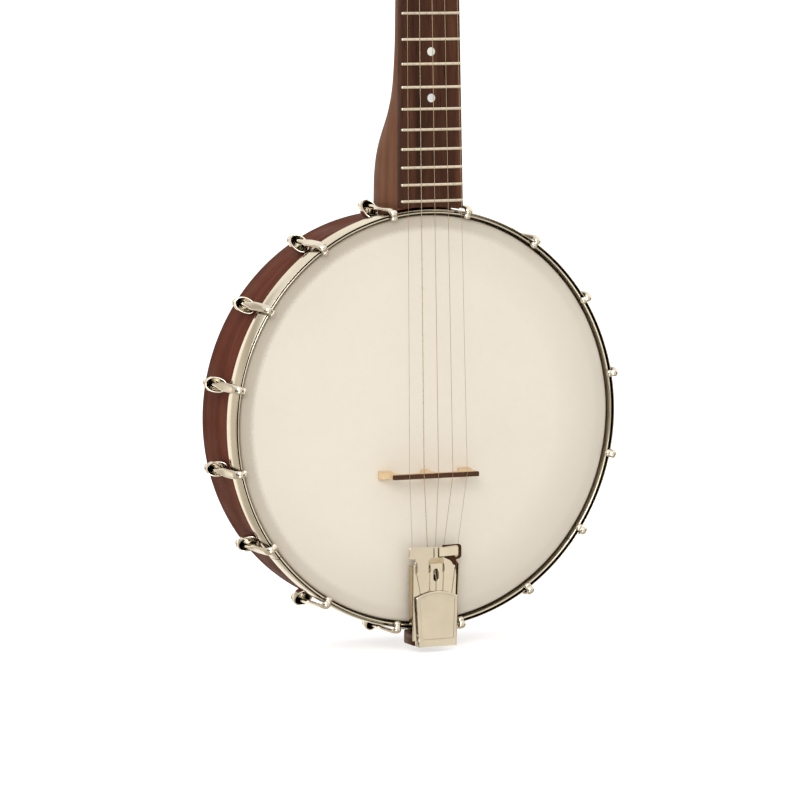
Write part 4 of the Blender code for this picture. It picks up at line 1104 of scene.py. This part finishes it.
# two ears hold the hinge; their outline is (y, z, corner radius)
EAR_T = 1.7
EAR = [(-74.5, -147.2, 0.6), (-78.1, -147.2, 0.8), (-78.1, -155.9, 1.6), (-74.5, -155.9, 1.6)]
for name, side in (("left", -1), ("right", 1)):
    verts, faces = plate([lift(rounded(EAR, 5))], 0.0, EAR_T, 0.3)
    middle = TAIL_X + side * 12.95
    ear = raw(f"tailpiece_ear_{name}", ([(middle - EAR_T / 2 + across, y, z)
                                         for y, across, z in verts], faces))
    bore(ear, from_pot(middle - 4, HINGE_Y, HINGE_Z), from_pot(middle + 4, HINGE_Y, HINGE_Z),
         1.1, 24)
    piece(ear, TAIL_METAL)


def hanger_box(low, high, bevel):
    """A rounded box given from the tailpiece's middle and the pot's axis."""
    (x0, y0, z0), (x1, y1, z1) = low, high
    return box(from_pot(x0 + TAIL_X, y0, z0), from_pot(x1 + TAIL_X, y1, z1), bevel, 3)


# the hanger's top and body are dark as painted shade behind the tailpiece
HANGER = [
    ("top", (-14.0, -75.8, -151.4), (14.0, -60.6, -148.0), PAINTED_SHADE_METAL, 0.5),
    ("body", (-13.6, -71.2, -156.4), (13.2, -55.6, -146.6), PAINTED_SHADE_METAL, 1.3),
    ("strap", (-6.0, -60.4, -151.3), (6.0, -43.4, -148.5), TAIL_METAL, 0.5),
    ("step", (-5.8, -46.4, -150.7), (5.8, -43.7, -140.6), TAIL_METAL, 0.5)]
for name, low, high, mat, bevel in HANGER:
    make(f"hanger_{name}", hanger_box(low, high, bevel), mat)
foot = raw("hanger_foot", hanger_box((-6.2, -46.9, -142.8), (6.2, -24.0, -140.2), 0.6))
bore(foot, from_pot(0, ROD_Y, -130), from_pot(0, ROD_Y, -150), 3.5, 32)
piece(foot, TAIL_METAL)

# pins for the string loops, under the cover
PIN_PROFILE = [(0.0, 1.2), (1.0, 1.2, 0.3), (1.0, 0.9, 0.2), (0.7, 0.8), (0.7, 0.0),
               (0.0, 0.0)]
for i, x in enumerate(END_X):
    make(f"string_pin_{5 - i}", turned_pin(
        PIN_PROFILE, 2, placed(from_pot(x, TAIL_Y + 0.05, -127.6)), 20), TAIL_METAL)


def cover_shape(columns=64, rows=84):
    """The cover in its hinge's frame: arched top, rolled edge, a pressed line, then a
    slightly crowned field and a crease just above the hinge."""
    low = -1.4
    front, back = [], []
    for j in range(rows + 1):
        front_row, back_row = [], []
        for i in range(columns + 1):
            u = -1 + 2 * i / columns
            top = 33.0 + 4.0 * (1 - u * u)
            z = low + (top - low) * (j / rows)
            t = min(max((z - low) / 34.6, 0.0), 1.0)
            left, right = -13.5 - 2.1 * t, 15.5 + 1.2 * t
            x = left + (right - left) * (u + 1) / 2
            edge = min(x - left, right - x, top - z)
            roll = 0.5 * math.sqrt(max(0.0, 1 - (1 - min(edge / 0.8, 1.0)) ** 2)) - 0.5
            line = math.exp(-((edge - 2.1) / 0.5) ** 2) * 0.34
            field = 0.16 * smoothstep(2.3, 4.2, edge)
            below = smoothstep(4.1, 3.1, z)
            crease = math.exp(-((z - 3.4) / 0.45) ** 2) * 0.26
            out = roll + (field - line) * (1 - below) - crease
            front_row.append((x, -3.3 - out * 0.95, z))
            back_row.append((x, -2.45, z))
        front.append(front_row)
        back.append(back_row)
    verts, faces = join(skin(front, close_rings=False), skin(back, close_rings=False))
    width, half = columns + 1, len(verts) // 2
    border = (list(range(width)) + [j * width + columns for j in range(1, rows + 1)]
              + [rows * width + i for i in range(columns - 1, -1, -1)]
              + [j * width for j in range(rows - 1, 0, -1)])
    for a, b in zip(border, border[1:] + border[:1]):
        faces.append((a, half + a, half + b, b))
    return verts, faces


HINGE = Matrix.Translation(from_pot(TAIL_X, HINGE_Y, HINGE_Z))
HINGE_AXIS = HINGE @ Matrix.Rotation(math.pi / 2, 4, "Y")
make("cover_lid", moved(cover_shape(), HINGE), TAIL_METAL, "tailpiece_cover",
     "tailpiece_cover", sharp=50)


def hinge_bar(half_length, radius, steps):
    return turned_pin([(0.0, half_length), (radius, half_length, 0.3),
                       (radius, -half_length, 0.3), (0.0, -half_length)], 3, HINGE_AXIS, steps)


hinge_web = moved(box((-11.6, -2.9, -1.2), (11.6, -0.2, 1.2), 0.15, 2), HINGE)
make("cover_knuckle", join(hinge_bar(11.6, 1.6, 32), hinge_web), TAIL_METAL,
     body="tailpiece_cover")
make("cover_pin", hinge_bar(13.7, 0.85, 24), HARDWARE, body="tailpiece_cover")


# ---- tuners: profiles are (radius, z, corner radius) -----------------------
BACK = HEADSTOCK_T + GAP
WORM_UP, WORM_Y = 6.6, BACK + 5.6  # button shaft: above the post, and behind the front
GRIP_PROFILE = spline([(0.0, 55.0), (2.2, 54.9), (4.6, 54.2), (7.2, 52.0), (8.8, 48.6),
                       (9.0, 46.2), (8.4, 43.2), (6.4, 40.4), (4.2, 38.9), (3.3, 38.2)], 4)
STEM_PROFILE = rounded([(3.2, 38.0), (3.2, 35.6, 0.3), (1.7, 35.3), (1.7, 14.2, 0.3),
                        (0.0, 14.2)], 3, closed=False)
POST_PROFILE = [(0.0, 17.2), (2.6, 17.2, 0.3), (3.1, 16.4, 0.4), (3.1, 14.6, 0.6),
                (2.5, 12.4, 1.5), (2.5, 8.2, 1.5), (3.1, 6.4, 0.5), (3.1, -18.4),
                (4.4, -18.4, 0.2), (4.4, -22.6, 0.2), (0.0, -22.6)]
BUSHING_PROFILE = [(3.45, 0.05), (6.4, 0.05, 0.1), (6.4, 0.9, 0.3), (5.2, 1.2, 0.2),
                   (5.0, 2.3, 0.4), (3.45, 2.3, 0.25)]
SCREW_PROFILE = [(0.0, 0.9), (1.2, 0.85, 0.4), (2.3, 0.35, 0.3), (2.4, -0.4), (0.0, -0.4)]


def flattened(low, high):
    """A warp that halves y beyond high, easing in from low."""
    return lambda x, y, z: (x, y * (1 - 0.5 * smoothstep(low, high, z)), z)


def tuner(side, up, number):
    """Geared case behind the headstock, with bushing, slotted screw, post and button."""
    post_x, worm_up = side * POST_X, up + WORM_UP
    left, right = sorted((side * 11.5, side * 29.0))
    case = raw(f"tuner_case_{number}", moved(
        box((left, BACK, up - 8.0), (right, BACK + 10.5, up + 12.0), 1.6, 4), STOCK))
    bore(case, (post_x, BACK - 5, up), (post_x, BACK + 8.6, up), 4.9, 40, STOCK)
    bore(case, (side * 13.5, WORM_Y, worm_up), (side * 35, WORM_Y, worm_up), 2.3, 32, STOCK)
    piece(case, NICKEL, f"tuner_housing_{number}")

    post_frame = STOCK @ placed((post_x, 0, up))
    make(f"post_bushing_{number}", turned(rounded(BUSHING_PROFILE, 3), post_frame,
                                          closed=True), NICKEL)
    back_face = STOCK @ placed((side * 16.2, BACK + 10.45, up - 2.6), -math.pi / 2)
    screw = raw(f"case_screw_{number}", turned_pin(SCREW_PROFILE, 4, back_face, 28))
    boolean(screw, moved(box((-3, -0.28, 0.35), (3, 0.28, 2.0)), back_face))
    piece(screw, HARDWARE)
    post = raw(f"post_shaft_{number}", turned_pin(POST_PROFILE, 4, post_frame, 40))
    string_hole = post_frame @ placed((0, 0, 10.4), axis="Y")
    bore(post, (0, 0, -5), (0, 0, 5), 0.8, 20, string_hole)
    piece(post, NICKEL, f"tuner_post_{number}", f"tuner_post_{number}")

    knob = STOCK @ placed((0, WORM_Y, worm_up), side * math.pi / 2, "Y")
    button = f"tuner_button_{number}"
    make(f"button_grip_{number}", turned(GRIP_PROFILE + [(0.0, 38.1)], knob,
                                         warp=flattened(37.0, 41.0)), PLASTIC, button, button)
    make(f"button_stem_{number}", turned([(0.0, 38.6)] + STEM_PROFILE, knob, 32), NICKEL,
         body=button)


for side, up, number in POSTS:
    tuner(side, up, number)

# fifth peg, standing out to the left of the neck
FIFTH_GRIP = spline([(0.0, 58.5), (2.0, 58.4), (4.2, 57.6), (6.4, 55.6), (7.6, 52.8),
                     (7.8, 51.0), (7.3, 48.0), (5.6, 45.4), (3.4, 44.0)], 4) + [(0.0, 43.8)]
FIFTH_BARREL = [
    (0.0, 44.4), (3.0, 44.4, 0.2), (3.0, 42.4, 0.3), (6.0, 42.2, 0.7), (6.0, 36.0, 0.9),
    (4.6, 34.4, 0.5), (4.6, 33.4, 0.3), (2.9, 33.2, 0.3), (2.9, 24.4, 0.2), (2.4, 24.0),
    (2.4, 11.0, 0.3), (0.0, 11.0)]
fifth_frame = NECK @ placed((0, FIFTH_PEG_Y, FIFTH_PEG_AT), -math.pi / 2, "Y")
make("fifth_grip", turned(FIFTH_GRIP, fifth_frame, warp=flattened(43.0, 47.0)), PLASTIC,
     "fifth_string_peg", "fifth_string_peg")
make("fifth_barrel", turned_pin(FIFTH_BARREL, 4, fifth_frame, 48), NICKEL,
     body="fifth_string_peg")


# ---- strings ---------------------------------------------------------------
GAUGE = {5: 0.15, 1: 0.15, 2: 0.18, 3: 0.2, 4: 0.27}  # radii
CLEAR, COIL_CLEAR = GAP + 0.22, GAP + 0.32            # centreline to what it passes


def coil(centre, axis, start, radius, rise, turns=2.5, per_turn=20):
    axis, start = Vector(axis).normalized(), Vector(start)
    start = (start - axis * start.dot(axis)).normalized()
    other = axis.cross(start)
    return [Vector(centre) + axis * rise * i / per_turn
            + (start * math.cos(math.tau * i / per_turn)
               + other * math.sin(math.tau * i / per_turn)) * radius
            for i in range(int(turns * per_turn) + 1)]


def dense(points, step):
    """The path with points added so that steps are about this long."""
    out = [Vector(points[0])]
    for a, b in zip(points, points[1:]):
        a, b = Vector(a), Vector(b)
        n = max(1, int((b - a).length / step))
        out += [a.lerp(b, k / n) for k in range(1, n + 1)]
    return out


def tail_path(number):
    """From the pin, through the plate and over its top edge, to the bridge."""
    i = 5 - number
    over, under = TAIL_Y - CLEAR, TAIL_Y + 1.2 + CLEAR
    rise_z = -106.8 if number == 3 else -102.0
    points = [(END_X[i], over, -126.0), (RISE_X[i], over, rise_z - 2.6),
              (RISE_X[i], under, rise_z + 2.6), (EDGE_X[i], under, -86.8),
              (BRIDGE_X[i], -(HEAD_H + GAP + BRIDGE_H + CLEAR), BRIDGE_Z)]
    return [Vector(p) + Vector((0, 0, POT_Z)) for p in points]


def neck_path(number, saddle):
    """From the bridge to the nut or fifth fret, then coiled round the peg or post."""
    if number == 5:
        turns = coil((-27.6, FIFTH_PEG_Y, FIFTH_PEG_AT), (-1, 0, 0), (0, -1, -0.2),
                     2.9 + COIL_CLEAR, 0.9)
        return [saddle, NECK @ Vector((-19.2, -2.5, FIFTH_AT))] + [NECK @ p for p in turns]
    x = NUT_STRING_X[number]
    side, up, _ = next(post for post in POSTS if post[2] == number)
    turns = coil((side * POST_X, -11.5, up), (0, 1, 0), (-side, 0, -0.35),
                 3.1 + COIL_CLEAR, 1.0)
    return ([saddle, NECK @ Vector((x, -1.82, NUT_AT)),
             NECK @ Vector((x * 1.01, -1.82, NUT_AT + 4.7))] + [STOCK @ p for p in turns])


def string(number):
    radius = GAUGE[number]
    metal = WOUND_METAL if number == 4 else STRING_METAL
    lower = tail_path(number)
    edge, saddle = lower[3], lower[4]
    upper = neck_path(number, saddle)
    tail = make(f"string_{number}_tail", wire(dense(lower, 4.0), radius, 10), metal,
                f"string_{number}", body=None, sharp=60)
    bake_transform(tail)
    speaking = make(f"string_{number}_neck", wire(dense(upper, 16.0), radius, 10), metal,
                    body=None, sharp=60)
    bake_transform(speaking)
    centre = lower[0] + Vector((0, 0.05, -1.2))
    loop = [centre + Vector((1.3 * math.cos(t), 0, 1.3 * math.sin(t)))
            for t in np.linspace(0, math.tau, 25)]
    make(f"string_{number}_loop", wire(loop, radius, 8), metal, sharp=60)


for number in (1, 2, 3, 4, 5):
    string(number)


# ---- floor, world, light and camera: metres --------------------------------
def floor_material():
    """Pale floor, brightened for the camera and unseen by reflections."""
    look = Look("pale_floor", roughness=0.9, specular=0.0)
    cloud = look.range(look.noise(look.place(), scale=3.0), over=(0.3, 0.7))
    look.set("Base Color", look.mix(cloud, lin((248, 248, 247)), lin((245, 245, 244))))
    rays = look.add("LightPath").node.outputs
    look.set("Emission Color", (1.0, 1.0, 1.0, 1.0))
    look.set("Emission Strength", look.times(rays["Is Camera Ray"], 0.62))
    surface = look.add("MixShader", {0: rays["Is Glossy Ray"], 1: look.bsdf.outputs[0],
                                     2: look.add("BsdfTransparent")})
    look.feed(look.tree.nodes["Material Output"], 0, surface)
    return look.mat


FLOOR_HALF, FLOOR_DROP = 40, 0.004
floor_mesh = bpy.data.meshes.new("floor")
floor_mesh.from_pydata([(x * FLOOR_HALF, y * FLOOR_HALF, 0) for x, y in
                        ((-1, -1), (1, -1), (1, 1), (-1, 1))], [], [(0, 1, 2, 3)])
floor_mesh.materials.append(floor_material())
floor = link("floor", floor_mesh)
floor.location = (0, 0, cad_box[0][2] - FLOOR_DROP)

# reflected room from straight down (0) to straight up (1): (position, linear colour)
ROOM = [
    (0.0, (0.58, 0.52, 0.43, 1)), (0.10, (0.50, 0.44, 0.36, 1)),
    (0.25, (0.54, 0.48, 0.39, 1)), (0.40, (0.68, 0.61, 0.50, 1)),
    (0.56, (0.72, 0.65, 0.54, 1)), (0.66, (0.50, 0.44, 0.36, 1)),
    (0.74, (0.95, 0.91, 0.84, 1)), (1.0, (1.05, 1.03, 0.98, 1))]
# soft patches in the room: (direction, cosines at outer and inner edge, linear colour)
PATCHES = [
    ((-0.8, -0.6, -0.05), (0.88, 0.96), (0.10, 0.075, 0.05, 1)),
    ((0.43, -0.9, -0.1), (0.80, 0.93), (0.895, 0.825, 0.705, 1)),
    ((0.80, 0.10, 0.58), (0.68, 0.86), (1.22, 1.15, 1.03, 1)),
    ((0.24, 0.89, -0.39), (0.92, 0.98), (1.12, 1.05, 0.94, 1)),
    ((0.13, 0.90, 0.42), (0.93, 0.98), (1.02, 0.95, 0.84, 1)),
    ((-0.55, -0.7, 0.46), (0.86, 0.92), (2.6, 2.54, 2.42, 1)),
    ((-0.4, -0.74, -0.54), (0.92, 0.96), (2.2, 2.14, 2.02, 1)),
    ((-0.11, 0.99, -0.07), (0.94, 0.97), (1.22, 1.13, 1.0, 1)),
    ((0.97, -0.2, -0.18), (0.93, 0.985), (0.16, 0.115, 0.08, 1)),
    ((-0.97, 0.12, -0.1), (0.93, 0.98), (0.12, 0.09, 0.06, 1))]


def build_world():
    """White to the camera, soft ambient light, and a painted room in reflections."""
    world = bpy.data.worlds.new("studio")
    bpy.context.scene.world = world
    world.use_nodes = True
    world.node_tree.nodes.clear()
    nodes = Nodes(world.node_tree)
    direction = nodes.add("TexCoord", out="Generated")
    _, _, height = nodes.split(direction)

    def patch(toward, over):
        """1 inside a soft patch around a direction, 0 outside."""
        cosine = nodes.add("VectorMath", {0: direction, 1: tuple(Vector(toward).normalized())},
                           out="Value", operation="DOT_PRODUCT")
        return nodes.range(cosine, over, interpolation_type="SMOOTHSTEP")

    upward = nodes.range(height, over=(-1.0, 1.0))
    ambient = nodes.mix(upward, (0.55, 0.545, 0.53, 1), (0.68, 0.68, 0.675, 1))
    ambient = nodes.mix(patch((-0.6, -0.9, 0.5), (0.2, 0.95)), ambient, (1.04, 1.03, 1.01, 1))
    room = nodes.ramp(upward, ROOM)
    for toward, over, colour in PATCHES:
        room = nodes.mix(patch(toward, over), room, colour)
    rays = nodes.add("LightPath").node.outputs
    colour = nodes.mix(rays["Is Glossy Ray"], ambient, room)
    colour = nodes.mix(rays["Is Camera Ray"], colour, (1, 1, 1, 1))
    background = nodes.add("Background", {"Color": colour, "Strength": 1.0})
    nodes.feed(nodes.tree.nodes.new("ShaderNodeOutputWorld"), 0, background)


build_world()

# key light at the front, above and to the left
KEY_PLACE, KEY_TARGET = Vector((-0.85, -1.35, 0.95)), Vector((0, 0, 0.15))
light = bpy.data.lights.new("key", "AREA")
light.shape = "RECTANGLE"
light.size = light.size_y = 0.7
light.energy = 7.5
light.color = (1.0, 0.985, 0.96)
key = link("key", light)
key.location = KEY_PLACE
key.rotation_euler = (KEY_TARGET - KEY_PLACE).to_track_quat("-Z", "Y").to_euler()

camera_data = bpy.data.cameras.new("camera")
camera_data.lens = 197.2
camera_data.sensor_width = 36.0
camera = link("camera", camera_data)
# the camera's own right, up and backward directions
camera_axes = Matrix((Vector((0.8997971, -0.4362948, 0.00346924)),
                      Vector((0.04515304, 0.10102459, 0.99385876)),
                      Vector((-0.43396588, -0.89411458, 0.11060166))))
camera.matrix_world = (Matrix.Translation((-1.3227, -2.7488, 0.4803))
                       @ camera_axes.transposed().to_4x4())
bpy.context.scene.camera = camera
bpy.context.scene.view_settings.view_transform = "Standard"
